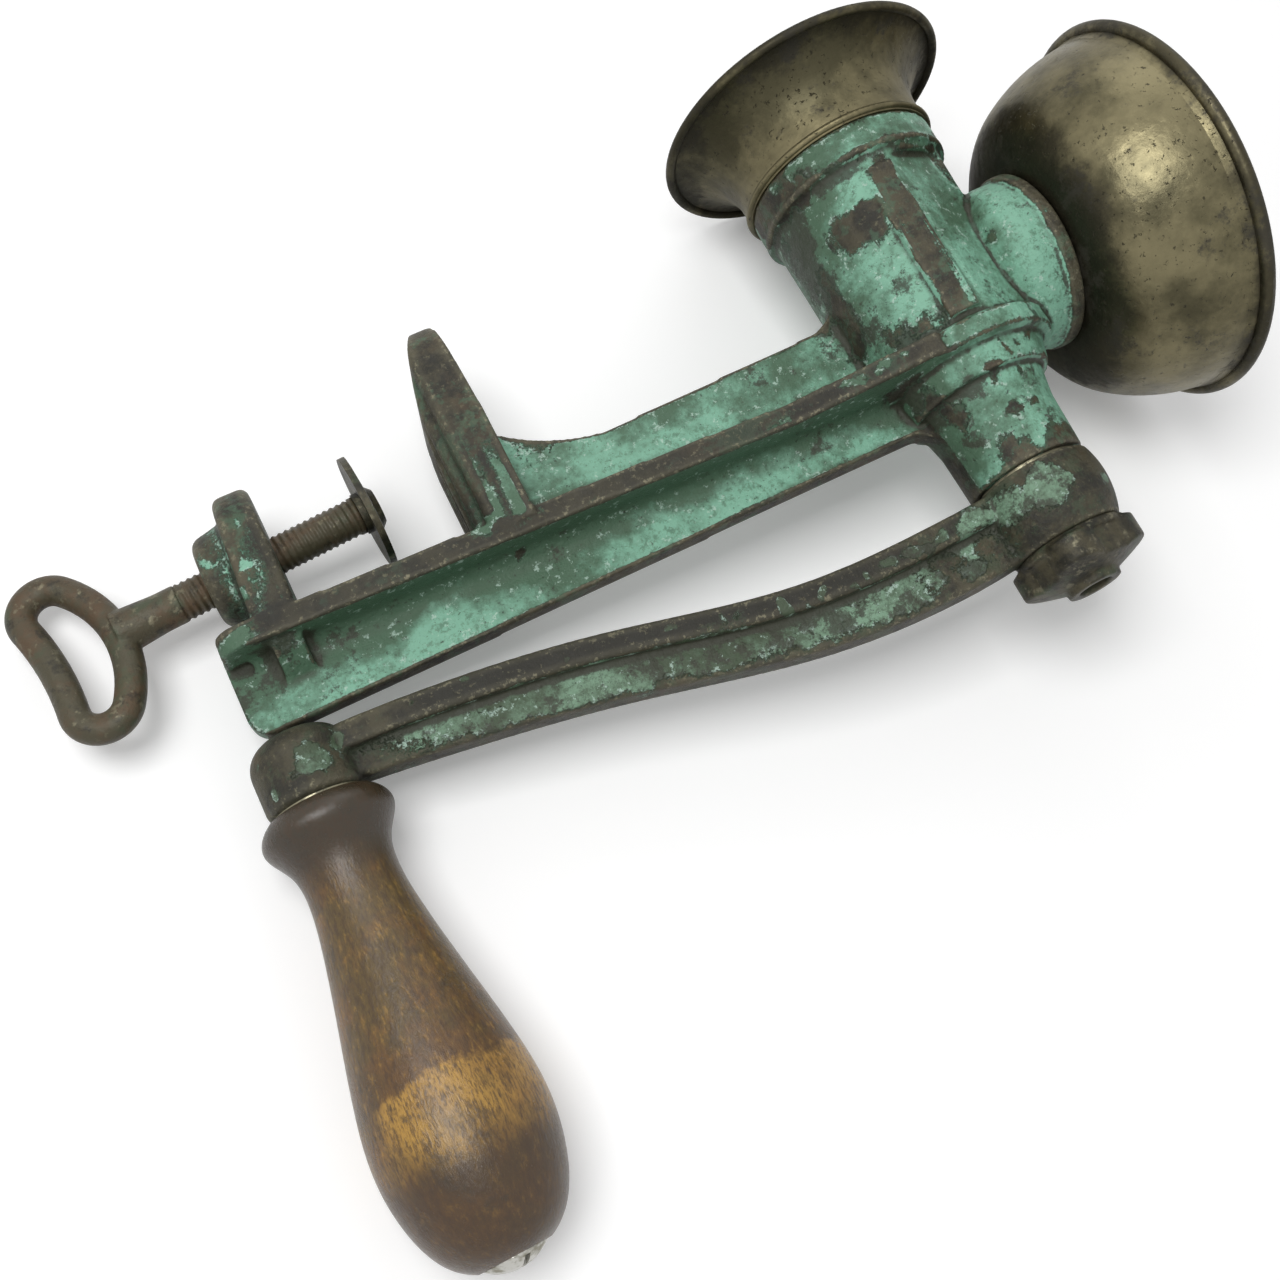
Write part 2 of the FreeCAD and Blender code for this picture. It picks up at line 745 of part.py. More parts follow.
def hopper_screws():
    """Round headed screws that hold the bowl down on the neck."""
    screws = []
    seat = neck_height + bowl_wall
    for x, y in bowl_screw_places():
        shank = cylinder_z(neck_height - bowl_screw_length + 0.5, seat, bowl_screw_radius, x, y)
        head = cylinder_z(seat, seat + bowl_screw_head_height, bowl_screw_head, x, y)
        head = rounded(head, 0.7, is_top_circle(seat + bowl_screw_head_height))
        slot = Part.makeBox(2 * bowl_screw_head, 0.7, 0.7,
                            shaft_point(x - bowl_screw_head, y - 0.35,
                                        seat + bowl_screw_head_height - 0.6))
        screws.append(shank.fuse(head).cut(slot).removeSplitter())
    return Part.Compound(screws)


def is_top_circle(z):
    def test(edge):
        box = edge.BoundBox
        return box.ZLength < 0.01 and abs(box.ZMax - shaft_height - z) < 0.01
    return test


def funnel_edges(inset):
    """Outer or inner line of the funnel, from the lip to the rim."""
    throat = funnel_throat_radius - inset
    flare_y = lip_front - funnel_throat_length
    rim_y = lip_front - funnel_depth
    rise = funnel_rim_radius - funnel_bead - funnel_throat_radius
    run = flare_y - rim_y
    radius = (rise ** 2 + run ** 2) / (2 * rise) + inset
    end_angle = math.asin(run / radius)
    mid = radial_y(throat + radius * (1 - math.cos(0.5 * end_angle)),
                   flare_y - radius * math.sin(0.5 * end_angle))
    end = radial_y(throat + radius * (1 - math.cos(end_angle)), rim_y)
    return radial_y(throat, flare_y), mid, end


def funnel_solid(inset, back):
    start, mid, end = funnel_edges(inset)
    edges = [
        line(radial_y(0, back), radial_y(start.x, back)),
        line(radial_y(start.x, back), start),
        arc(start, mid, end),
        line(end, radial_y(0, end.y)),
        line(radial_y(0, end.y), radial_y(0, back)),
    ]
    return revolve_y(edges)


def outlet_funnel():
    """Spun brass funnel with a spigot that seats inside the barrel's lip."""
    solid = funnel_solid(0, lip_front)
    ring = Part.makeTorus(funnel_throat_radius, funnel_ring,
                          shaft_point(0, lip_front - 1.2, 0), Y_AXIS)
    rim_y = lip_front - funnel_depth
    bead = Part.makeTorus(funnel_rim_radius - funnel_bead, funnel_bead,
                          shaft_point(0, rim_y, 0), Y_AXIS)
    spigot_out = spigot_radius - seat_gap
    spigot = cylinder_y(lip_front - 1, lip_front + spigot_depth - 0.5, spigot_out)
    solid = solid.fuse([ring, spigot])
    bore = cylinder_y(lip_front - funnel_throat_length, lip_front + spigot_depth,
                      spigot_out - funnel_wall)
    solid = solid.cut(funnel_solid(funnel_wall, lip_front - funnel_throat_length + 1))
    solid = solid.cut(bore)
    return solid.fuse(bead).removeSplitter()


# Grinding parts

def toothed_wire(root_radius, tip_radius, teeth, y, turn):
    """Closed saw toothed outline about the shaft axis."""
    step = 2 * math.pi / teeth
    points = []
    for index in range(teeth):
        angle = index * step + math.radians(turn)
        points.append(shaft_point(tip_radius * math.cos(angle), y, tip_radius * math.sin(angle)))
        angle = angle + 0.62 * step
        points.append(shaft_point(root_radius * math.cos(angle), y, root_radius * math.sin(angle)))
    return Part.Wire(chain(points))


def rotor_radius(y):
    """Tip radius of the rotor's cone, one grinding gap inside the ring."""
    return ring_radius(y) - burr_gap


def ring_radius(y):
    share = (y - burr_front) / ring_length
    return ring_front_radius + share * (ring_back_radius - ring_front_radius)


def rotor_burr():
    """Toothed cone that turns with the shaft."""
    back = burr_front + rotor_length
    front_tip = rotor_radius(burr_front)
    back_tip = rotor_radius(back)
    front = toothed_wire(front_tip - burr_tooth_depth, front_tip, rotor_teeth, burr_front, 0)
    rear = toothed_wire(back_tip - burr_tooth_depth, back_tip, rotor_teeth, back, rotor_twist)
    solid = Part.makeLoft([front, rear], True, True)
    seat = square_bar_y(burr_front - 1, back + 1, shaft_seat + seat_gap)
    return solid.cut(seat)


def burr_ring():
    """Fixed ring with teeth inside, pressed into the barrel."""
    back = burr_front + ring_length
    outer = cylinder_y(burr_front, back, burr_seat_radius - seat_gap)
    front = toothed_wire(ring_radius(burr_front) + burr_tooth_depth, ring_radius(burr_front),
                         ring_teeth, burr_front, 0)
    rear = toothed_wire(ring_radius(back) + burr_tooth_depth, ring_radius(back),
                        ring_teeth, back, -rotor_twist)
    return outer.cut(Part.makeLoft([front, rear], True, True))


def worm_section(y, turn):
    """Section of the worm: a round core with one lobe for each flight."""
    steps = 6
    points = []
    lobe = 2 * math.pi / worm_starts
    for start in range(worm_starts):
        for index in range(steps):
            share = index / steps
            radius = worm_core_radius
            if index == 0:
                radius = worm_radius
            if index == 1:
                radius = worm_radius
            angle = math.radians(turn) + start * lobe + share * lobe * 0.9
            if index > 1:
                angle = angle - 0.04 * lobe
            points.append(shaft_point(radius * math.cos(angle), y, radius * math.sin(angle)))
    return Part.Wire(chain(points))


def feed_worm():
    """Twin flighted worm that carries the spice from the neck to the burrs."""
    start = burr_front + ring_length + face_gap
    sections = []
    for index in range(worm_steps + 1):
        share = index / worm_steps
        sections.append(worm_section(start + share * worm_length, share * worm_turn))
    solid = Part.makeLoft(sections, True, True)
    bore = cylinder_y(start - 1, start + worm_length + 1, shaft_radius + seat_gap)
    return solid.cut([bore, worm_pin_hole()])


def worm_pin_place():
    return burr_front + ring_length + face_gap + 0.5 * worm_length


def worm_pin_hole():
    reach = worm_radius + 1
    base = shaft_point(-reach, worm_pin_place(), 0)
    return Part.makeCylinder(worm_pin_radius + seat_gap, 2 * reach, base, X_AXIS)


def worm_pin():
    """Cross pin that locks the worm on the shaft."""
    reach = worm_core_radius - 1.2
    base = shaft_point(-reach, worm_pin_place(), 0)
    return Part.makeCylinder(worm_pin_radius, 2 * reach, base, X_AXIS)


def thrust_washer():
    """Washer between the worm and the back of the chamber."""
    back = chamber_end - washer_gap
    outer = cylinder_y(back - thrust_washer_thickness, back, thrust_washer_radius)
    bore = cylinder_y(back - thrust_washer_thickness - 1, back + 1, shaft_radius + 0.15)
    return outer.cut(bore)


def hub_bush():
    """Bronze bush in the bearing hub."""
    outer = cylinder_y(chamber_end, hub_end, bush_radius - seat_gap)
    bore = cylinder_y(chamber_end - 1, hub_end + 1, bush_wall_inner)
    return outer.cut(bore)


def hub_washer():
    """Thin washer between the hub and the crank."""
    start = hub_end + washer_gap
    outer = cylinder_y(start, start + hub_washer_thickness, hub_washer_radius)
    bore = cylinder_y(start - 1, start + hub_washer_thickness + 1, shaft_radius + 0.15)
    return outer.cut(bore)


def crank_start():
    return hub_end + hub_washer_thickness + 2 * washer_gap


def crank_face():
    return crank_start() + crank_boss_length


def drive_shaft():
    """Steel shaft with a square seat at each end and a threaded nose and tail."""
    rotor_back = burr_front + rotor_length
    nose_front = burr_front - nose_washer_thickness - nose_nut_height - 1.0
    nose = cylinder_y(nose_front, burr_front, shaft_nose_radius)
    front_square = square_bar_y(burr_front, rotor_back, shaft_seat)
    front_square = front_square.common(cylinder_y(burr_front, rotor_back, shaft_radius - 0.1))
    middle = cylinder_y(rotor_back, crank_start(), shaft_radius)
    back_square = square_bar_y(crank_start(), crank_face() - 1, shaft_seat)
    back_square = back_square.common(cylinder_y(crank_start(), crank_face(), shaft_radius))
    tail = cylinder_y(crank_face() - 1, shaft_tail_end, shaft_tail_radius)
    solid = nose.fuse([front_square, middle, back_square, tail])
    return solid.cut(worm_pin_hole()).removeSplitter()


def nose_washer():
    """Washer in front of the rotor."""
    front = burr_front - nose_washer_thickness
    outer = cylinder_y(front, burr_front, nose_washer_radius)
    return outer.cut(cylinder_y(front - 1, burr_front + 1, shaft_nose_radius + seat_gap))


def nose_nut():
    """Hexagon nut that holds the rotor on the shaft."""
    back = burr_front - nose_washer_thickness
    front = back - nose_nut_height
    radius = 0.5 * nose_nut_width / math.cos(math.radians(30))
    corners = []
    for index in range(6):
        angle = math.radians(60 * index)
        corners.append(shaft_point(radius * math.cos(angle), front, radius * math.sin(angle)))
    solid = Part.Face(Part.Wire(chain(corners))).extrude(Y_AXIS * nose_nut_height)
    return solid.cut(cylinder_y(front - 1, back + 1, shaft_nose_radius + seat_gap))


# Crank

def arm_lines():
    """Back of the arm and its front, bowed out to pass the hopper's rim."""
    back = []
    front = []
    for radius_share, bow_share, drop_share, taper_share in arm_stations:
        y = crank_start() + bow_share * arm_bow - drop_share * arm_drop
        z = -radius_share * crank_radius
        back.append((y, z))
        front.append((y + arm_depth - taper_share * arm_taper, z))
    return back, front


def grip_boss_back():
    return crank_start() - arm_drop - grip_boss_back_wall


def grip_boss_front():
    return crank_start() - arm_drop + arm_depth - arm_taper + grip_boss_front_wall


def arm_plate(back, front, half_width):
    """Plate between two smooth lines drawn in the YZ plane."""
    sides = []
    for outline in (back, front):
        spline = Part.BSplineCurve()
        spline.interpolate([Vector(0, y, z) for y, z in outline])
        sides.append(spline.toShape())
    edges = [
        sides[0],
        line(Vector(0, back[-1][0], back[-1][1]), Vector(0, front[-1][0], front[-1][1])),
        sides[1],
        line(Vector(0, front[0][0], front[0][1]), Vector(0, back[0][0], back[0][1])),
    ]
    return side_plate(Part.__sortEdges__(edges), half_width)


def crank_boss():
    """Boss on the shaft, with a bulged side that narrows to the nut."""
    back = crank_start()
    front = crank_face()
    side_start = radial_y(crank_boss_back_radius, back)
    side_middle = radial_y(crank_boss_radius, back + 0.42 * crank_boss_length)
    side_end = radial_y(crank_boss_front_radius, front)
    edges = [
        line(radial_y(0, back), side_start),
        arc(side_start, side_middle, side_end),
        line(side_end, radial_y(0, front)),
        line(radial_y(0, front), radial_y(0, back)),
    ]
    return revolve_y(edges)


def crank_arm():
    """Cast crank: two bosses joined by a bowed arm of tee section."""
    back, front = arm_lines()
    step = [(y + arm_rail_depth, z) for y, z in back]
    rail = rounded(arm_plate(back, step, arm_half_width), arm_edge, is_long_edge)
    stem = rounded(arm_plate(back, front, arm_stem_half_width), arm_edge, is_long_edge)
    boss_back = grip_boss_back()
    boss_front = grip_boss_front()
    grip_boss = cylinder_y(boss_back, boss_front, grip_boss_radius, 0, -crank_radius)
    grip_boss = rounded(grip_boss, grip_boss_round, is_circle_at(boss_back))
    grip_boss = rounded(grip_boss, grip_boss_front_round, is_circle_at(boss_front))
    solid = rail.fuse([stem, crank_boss(), grip_boss])
    seat = square_bar_y(crank_start() - 1, crank_face() + 1, shaft_seat + seat_gap)
    spindle_hole = cylinder_y(boss_back + spindle_inset - 1, boss_front + 1,
                              spindle_radius + seat_gap, 0, -crank_radius)
    return solid.cut([seat, spindle_hole]).removeSplitter()


def is_long_edge(edge):
    box = edge.BoundBox
    return box.XLength < 0.01 and box.ZLength > 0.5 * crank_radius


def is_circle_at(y):
    def test(edge):
        box = edge.BoundBox
        return abs(box.YMin - y) < 0.01 and abs(box.YMax - y) < 0.01
    return test


def crank_nut():
    """Lobed hand nut that holds the crank on the shaft."""
    start = crank_face() + seated_gap
    base = cylinder_y(start, start + nut_base_thickness, nut_base_radius)
    lobe_start = start + 0.5 * nut_base_thickness
    cone_top = start + nut_cone_height
    reach = nut_lobe_circle + nut_lobe_radius
    core = cylinder_y(start, cone_top, nut_core_radius)
    collar = cylinder_y(start, start + nut_height, nut_collar_radius)
    lobes = []
    for index in range(nut_lobes):
        angle = math.radians(nut_turn + 360 * index / nut_lobes)
        x = nut_lobe_circle * math.cos(angle)
        z = nut_lobe_circle * math.sin(angle)
        lobes.append(cylinder_y(lobe_start, cone_top, nut_lobe_radius, x, z))
    dome = turned_y([
        (0, start), (reach, start), (reach, start + nut_edge_height),
        (nut_collar_radius, cone_top), (0, cone_top),
    ])
    lobed = core.fuse(lobes).common(dome)
    solid = base.fuse([lobed, collar]).removeSplitter()
    return solid.cut(cylinder_y(start - 1, start + nut_height + 1, shaft_tail_radius + seat_gap))


def grip_start():
    """Crank side end of the wood, one face gap past the washer."""
    return grip_boss_front() + seated_gap + grip_washer_thickness + face_gap


def grip_end():
    return grip_start() + grip_length


def end_washer_back():
    return grip_end() - end_pocket_depth + face_gap


def spindle_head():
    """Slotted round head with a high dome."""
    base = end_washer_back() + end_washer_thickness
    edge_y = base + spindle_head_edge
    top = edge_y + spindle_head_dome
    edge = radial_y(spindle_head_radius, edge_y)
    ball = (spindle_head_radius ** 2 + spindle_head_dome ** 2) / (2 * spindle_head_dome)
    half_angle = 0.5 * math.asin(spindle_head_radius / ball)
    bulge = radial_y(ball * math.sin(half_angle), top - ball * (1 - math.cos(half_angle)))
    edges = [
        line(radial_y(0, base), radial_y(spindle_head_radius, base)),
        line(radial_y(spindle_head_radius, base), edge),
        arc(edge, bulge, radial_y(0, top)),
        line(radial_y(0, top), radial_y(0, base)),
    ]
    head = revolve_y(edges, 0, -crank_radius)
    slot = Part.makeBox(2 * spindle_head_radius, slot_depth, slot_width,
                        shaft_point(-spindle_head_radius, top - slot_depth,
                                    -crank_radius - 0.5 * slot_width))
    slot.rotate(shaft_point(0, top, -crank_radius), Y_AXIS, slot_turn)
    return head.cut(slot)


def grip_spindle():
    """Slotted spindle screw that carries the grip."""
    base = end_washer_back() + end_washer_thickness
    shank = cylinder_y(grip_boss_back() + spindle_inset, base, spindle_radius, 0, -crank_radius)
    return shank.fuse(spindle_head()).removeSplitter()


def grip_washer():
    """Thin washer between the crank's boss and the grip."""
    start = grip_boss_front() + seated_gap
    outer = cylinder_y(start, start + grip_washer_thickness, grip_washer_radius, 0, -crank_radius)
    bore = cylinder_y(start - 1, start + grip_washer_thickness + 1, spindle_radius + seat_gap,
                      0, -crank_radius)
    return outer.cut(bore)


def end_washer():
    """Washer under the spindle's head, in the grip's end."""
    back = end_washer_back()
    front = back + end_washer_thickness
    outer = cylinder_y(back, front, end_washer_radius, 0, -crank_radius)
    bore = cylinder_y(back - 1, front + 1, spindle_radius + seat_gap, 0, -crank_radius)
    return outer.cut(bore)


def grip_outline():
    """Points along the grip's turned side, at (radius, y)."""
    radii = {
        "bead": grip_bead_radius, "waist": grip_waist_radius,
        "belly": grip_belly_radius, "end": grip_end_radius,
    }
    points = []
    for length_share, low, high, share in grip_stations:
        radius = radii[low] + share * (radii[high] - radii[low])
        points.append(radial_y(radius, grip_start() + length_share * grip_length))
    return points


def wood_grip():
    """Turned pear shaped grip with a bead at the crank."""
    outline = grip_outline()
    start = grip_start()
    end = grip_end()
    side = Part.BSplineCurve()
    side.interpolate(outline)
    edges = [
        line(radial_y(0, start), outline[0]),
        side.toShape(),
        line(outline[-1], radial_y(0, end)),
        line(radial_y(0, end), radial_y(0, start)),
    ]
    solid = revolve_y(edges, 0, -crank_radius)
    bore = cylinder_y(start - 1, end + 1, spindle_radius + running_gap, 0, -crank_radius)
    pocket = cylinder_y(end - end_pocket_depth, end + 1, spindle_head_radius + end_pocket_gap,
                        0, -crank_radius)
    return solid.cut([bore, pocket])


# Clamp

def pad_top():
    return screw_top + pad_gap + pad_height


def rivet_base():
    return pad_top() - rivet_height - pad_gap


def clamp_pad():
    """Swivelling pad: a thin dished disc, with a hub below and a boss above."""
    under = screw_top + pad_gap
    top = pad_top()
    middle = top - pad_boss_height
    rim = middle - pad_dish
    points = [
        radial_z(0, under),
        radial_z(pad_hub_radius, under),
        radial_z(pad_hub_radius, middle - pad_edge - 0.4),
        radial_z(pad_radius, rim - pad_edge),
        radial_z(pad_radius, rim),
        radial_z(pad_boss_foot, middle),
        radial_z(pad_boss_radius, top),
        radial_z(0, top),
    ]
    solid = revolve_z(chain(points), screw_y)
    bore = cylinder_z(under - 1, top + 1, nose_radius + running_gap, 0, screw_y)
    seat = cylinder_z(rivet_base() - pad_gap, top + 1, rivet_radius + running_gap, 0, screw_y)
    return leaned(solid.cut([bore, seat]))


def loop_path():
    """Closed centre line of the bean shaped loop, in the YZ plane."""
    lobe = loop_lobe_radius
    span = loop_half_span
    bowed = (span ** 2 + loop_rise ** 2 - lobe ** 2) / (2 * (loop_rise - lobe))
    dented = (span ** 2 + loop_dip ** 2 - lobe ** 2) / (2 * (lobe - loop_dip))
    top_angle = math.atan2(span, bowed - loop_rise)
    low_angle = math.atan2(span, dented + loop_dip)

    def on_bowed(angle):
        return Vector(0, bowed * math.sin(angle), loop_rise - bowed * (1 - math.cos(angle)))

    def on_dented(angle):
        return Vector(0, dented * math.sin(angle),
                      -loop_dip - dented * (1 - math.cos(angle)))

    return [
        arc(on_bowed(0), on_bowed(0.5 * top_angle), on_bowed(top_angle)),
        arc(on_bowed(top_angle), Vector(0, span + lobe, 0), on_dented(low_angle)),
        arc(on_dented(low_angle), on_dented(0), on_dented(-low_angle)),
        arc(on_dented(-low_angle), Vector(0, -span - lobe, 0), on_bowed(-top_angle)),
        arc(on_bowed(-top_angle), on_bowed(-0.5 * top_angle), on_bowed(0)),
    ]


def clamp_screw():
    """Clamp screw with its cast loop and riveted nose."""
    path = Part.Wire(loop_path())
    start = Vector(0, 0, loop_rise)
    section = Part.Wire(Part.Circle(start, Y_AXIS, loop_rod_radius).toShape())
    loop = path.makePipeShell([section], True, False)
    loop.rotate(Vector(0, 0, 0), X_AXIS, loop_tilt)
    loop.translate(shaft_point(0, screw_y + loop_offset, loop_centre))
    apex = loop_centre + loop_rise
    shank = cylinder_z(apex + 9, screw_top, screw_radius, 0, screw_y)
    swell = Part.makeCone(screw_radius + neck_swell, screw_radius, 9,
                          shaft_point(0, screw_y, apex), Z_AXIS)
    nose = cylinder_z(screw_top, rivet_base(), nose_radius, 0, screw_y)
    rivet = cylinder_z(rivet_base(), pad_top() - pad_gap, rivet_radius, 0, screw_y)
    solid = loop.fuse([shank, swell, nose, rivet]).removeSplitter()
    solid.rotate(shaft_point(0, screw_y, 0), Z_AXIS, -loop_turn)
    return leaned(solid)


def main():
    nodes = {
        "body_casting": body_casting,
        "hopper_bowl": hopper_bowl,
        "hopper_screws": hopper_screws,
        "outlet_funnel": outlet_funnel,
        "burr_ring": burr_ring,
        "hub_bush": hub_bush,
        "rotor_burr": rotor_burr,
        "feed_worm": feed_worm,
        "worm_pin": worm_pin,
        "thrust_washer": thrust_washer,
        "hub_washer": hub_washer,
        "drive_shaft": drive_shaft,
        "nose_washer": nose_washer,
        "nose_nut": nose_nut,
        "crank_arm": crank_arm,
        "crank_nut": crank_nut,
        "grip_spindle": grip_spindle,
        "grip_washer": grip_washer,
        "end_washer": end_washer,
        "wood_grip": wood_grip,
        "clamp_pad": clamp_pad,
        "clamp_screw": clamp_screw,
    }
    os.makedirs("parts", exist_ok=True)
    for name, make in nodes.items():
        shape = make()
        shape.exportStep(f"parts/{name}.step")
        print(name, "solids", len(shape.Solids), "valid", shape.isValid(),
              "volume", round(shape.Volume, 1))


main()
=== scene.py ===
"""Looks of a table clamp spice mill: worn enamel on cast iron, spun brass, turned wood.

The casting, the crank, its hand nut and the clamp screw are dressed with new pieces made
from copies of the solids. The other parts keep their own meshes and get a finish. Places
are in the mill's own frame, in metres where no comment says millimetres: X to the side that
the camera sees, Y from the outlet funnel to the crank, Z up.
"""
import math

import bmesh
import bpy
import numpy as np
from bpy.props import FloatProperty, FloatVectorProperty, IntProperty, PointerProperty
from mathutils import Matrix, Vector, noise


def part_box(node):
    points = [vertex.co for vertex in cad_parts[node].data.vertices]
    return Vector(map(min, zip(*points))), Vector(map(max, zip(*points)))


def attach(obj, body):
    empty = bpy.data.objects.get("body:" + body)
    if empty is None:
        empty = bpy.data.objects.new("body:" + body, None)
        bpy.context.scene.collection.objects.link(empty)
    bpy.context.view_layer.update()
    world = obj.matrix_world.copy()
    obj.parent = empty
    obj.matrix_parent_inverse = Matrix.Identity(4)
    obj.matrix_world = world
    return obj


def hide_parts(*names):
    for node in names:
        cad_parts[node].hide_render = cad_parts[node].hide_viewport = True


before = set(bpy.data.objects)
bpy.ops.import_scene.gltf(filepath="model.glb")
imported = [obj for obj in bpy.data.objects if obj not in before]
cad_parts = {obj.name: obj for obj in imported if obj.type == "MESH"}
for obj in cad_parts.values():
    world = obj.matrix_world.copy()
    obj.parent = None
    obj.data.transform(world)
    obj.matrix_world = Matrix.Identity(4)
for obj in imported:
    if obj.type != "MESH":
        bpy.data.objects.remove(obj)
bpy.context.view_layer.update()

bl_info = {
    "name": "Spice mill dressing",
    "version": (1, 0, 0),
    "blender": (4, 5, 0),
    "location": "3D View > Sidebar > Spice mill",
    "description": "Dresses a table clamp spice mill and sets its studio",
    "category": "Object",
}

MM = 0.001


# Sizes and colours that a user would change

def length_property(label, help_text, value):
    return FloatProperty(name=label, description=help_text, default=value, min=0.0,
                         precision=5, unit="LENGTH")


def colour_property(label, help_text, value):
    return FloatVectorProperty(name=label, description=help_text, default=value, size=3,
                               min=0.0, max=1.0, subtype="COLOR")


class MillSizes(bpy.types.PropertyGroup):
    """Sizes of the dressed pieces."""
    casting_grain: length_property(
        "Casting grain", "Mesh size of the cast body before it is thinned", 0.5 * MM)
    casting_share: FloatProperty(
        name="Casting share", description="Share of the cast body's faces that is kept",
        default=0.49, min=0.1, max=1.0, subtype="FACTOR")
    arm_grain: length_property(
        "Arm grain", "Mesh size of the crank arm", 0.45 * MM)
    small_grain: length_property(
        "Small iron grain", "Mesh size of the nut and the loop", 0.35 * MM)
    thread_pitch: length_property(
        "Thread pitch", "Travel of the clamp screw for one turn", 1.41 * MM)
    thread_depth: length_property(
        "Thread depth", "Crest to root of the clamp screw's thread", 0.32 * MM)
    thread_radius: length_property(
        "Thread radius", "Outside radius of the clamp screw's thread", 3.93 * MM)
    thread_steps: IntProperty(
        name="Thread steps", description="Faces round one turn of the thread", default=36,
        min=12, max=96)


class MillColours(bpy.types.PropertyGroup):
    """Colours of the finishes."""
    mint: colour_property("Mint enamel", "Clean enamel", (0.222, 0.460, 0.332))
    mint_deep: colour_property("Deep mint", "Shaded or stained enamel", (0.066, 0.130, 0.078))
    mint_chalk: colour_property("Chalky mint", "Broken rims of the enamel", (0.47, 0.63, 0.54))
    olive: colour_property("Olive enamel", "Thin enamel left on the crank", (0.19, 0.315, 0.215))
    olive_deep: colour_property("Deep olive", "Stained enamel on the crank", (0.050, 0.074, 0.041))
    # Grime also colours the painted shade in the enamel's creases
    grime: colour_property("Grime", "Brown dirt on the enamel", (0.032, 0.033, 0.021))
    iron: colour_property("Bare iron", "Cast iron with old patina", (0.066, 0.058, 0.034))
    # Dark iron also colours the painted shade in hollows and corners
    iron_dark: colour_property("Dark iron", "Hollows of the bare iron", (0.016, 0.015, 0.010))
    iron_worn: colour_property("Worn iron", "Edges rubbed by hands", (0.22, 0.205, 0.14))
    rust: colour_property("Rust", "Rust on the clamp screw", (0.088, 0.058, 0.032))
    brass: colour_property("Brass", "Rubbed brass", (0.192, 0.168, 0.095))
    brass_dull: colour_property("Dull brass", "Tarnished brass", (0.070, 0.063, 0.036))
    brass_dark: colour_property("Brass stain", "Dark stains on the brass", (0.030, 0.027, 0.019))
    wood: colour_property("Wood", "Worn wood", (0.104, 0.065, 0.017))
    wood_red: colour_property("Red wood", "Warmer patches of the wood", (0.165, 0.080, 0.018))
    wood_gold: colour_property("Golden wood", "Wood rubbed bare", (0.44, 0.245, 0.045))
    wood_dark: colour_property("Dark wood", "Handled, dark wood", (0.050, 0.027, 0.012))
    wood_soot: colour_property("Sooty wood", "Dark bead beside the arm", (0.029, 0.024, 0.016))
    steel: colour_property("Steel", "Spindle and screws", (0.56, 0.55, 0.51))
    floor: colour_property("Floor", "Pale sheet that the mill lies on", (0.93, 0.93, 0.93))


class MillStudio(bpy.types.PropertyGroup):
    """Camera and light."""
    camera_place: FloatVectorProperty(
        name="Camera place", description="Where the camera stands", size=3,
        subtype="TRANSLATION", unit="LENGTH", default=(0.31299, 0.13027, -0.03145))
    camera_turn: FloatVectorProperty(
        name="Camera turn", description="How the camera is turned", size=3,
        subtype="EULER", unit="ROTATION",
        default=(math.radians(116.752), math.radians(-62.996), math.radians(83.998)))
    camera_lens: FloatProperty(
        name="Lens", description="Focal length in millimetres on a 36 mm sensor",
        default=46.406, min=10.0, max=200.0)
    camera_shift: FloatVectorProperty(
        name="Shift", description="Camera shift", size=2, default=(-0.03125, -0.07031))
    key_power: FloatProperty(
        name="Key light", description="Power of the overhead soft light", default=4.8,
        min=0.0, unit="POWER")
    fill_power: FloatProperty(
        name="Fill light", description="Power of the side soft light", default=1.0,
        min=0.0, unit="POWER")
    room_light: FloatProperty(
        name="Room light", description="Strength of the even light from all sides",
        default=0.45, min=0.0, max=2.0)


# Finishes

class Nodes:
    """The node tree of a material or a world, built from nothing."""

    def __init__(self, owner, output):
        owner.use_nodes = True
        self.tree = owner.node_tree
        self.tree.nodes.clear()
        self.result = self.tree.nodes.new(output).inputs["Surface"]

    def feed(self, socket, value):
        """Links a socket to another node's output, or sets its value."""
        if isinstance(value, bpy.types.NodeSocket):
            self.tree.links.new(value, socket)
        elif socket.type == "RGBA" and len(value) == 3:
            socket.default_value = (*value, 1.0)
        else:
            socket.default_value = value

    def feed_named(self, node, values):
        """Feeds sockets by their names, in which an underscore stands for a space."""
        for name, value in values.items():
            self.feed(node.inputs[name.replace("_", " ")], value)

    def make(self, kind, *values, **named):
        """A new node: the values feed its first sockets, the named ones those names."""
        node = self.tree.nodes.new(kind)
        for socket, value in zip(node.inputs, values):
            self.feed(socket, value)
        self.feed_named(node, named)
        return node

    def math(self, operation, first, second=0.0):
        node = self.make("ShaderNodeMath", first, second)
        node.operation = operation
        return node.outputs[0]

    def pick(self, amount, first, second):
        """The first shader where the amount is 0, the second where it is 1."""
        return self.make("ShaderNodeMixShader", amount, first, second).outputs[0]


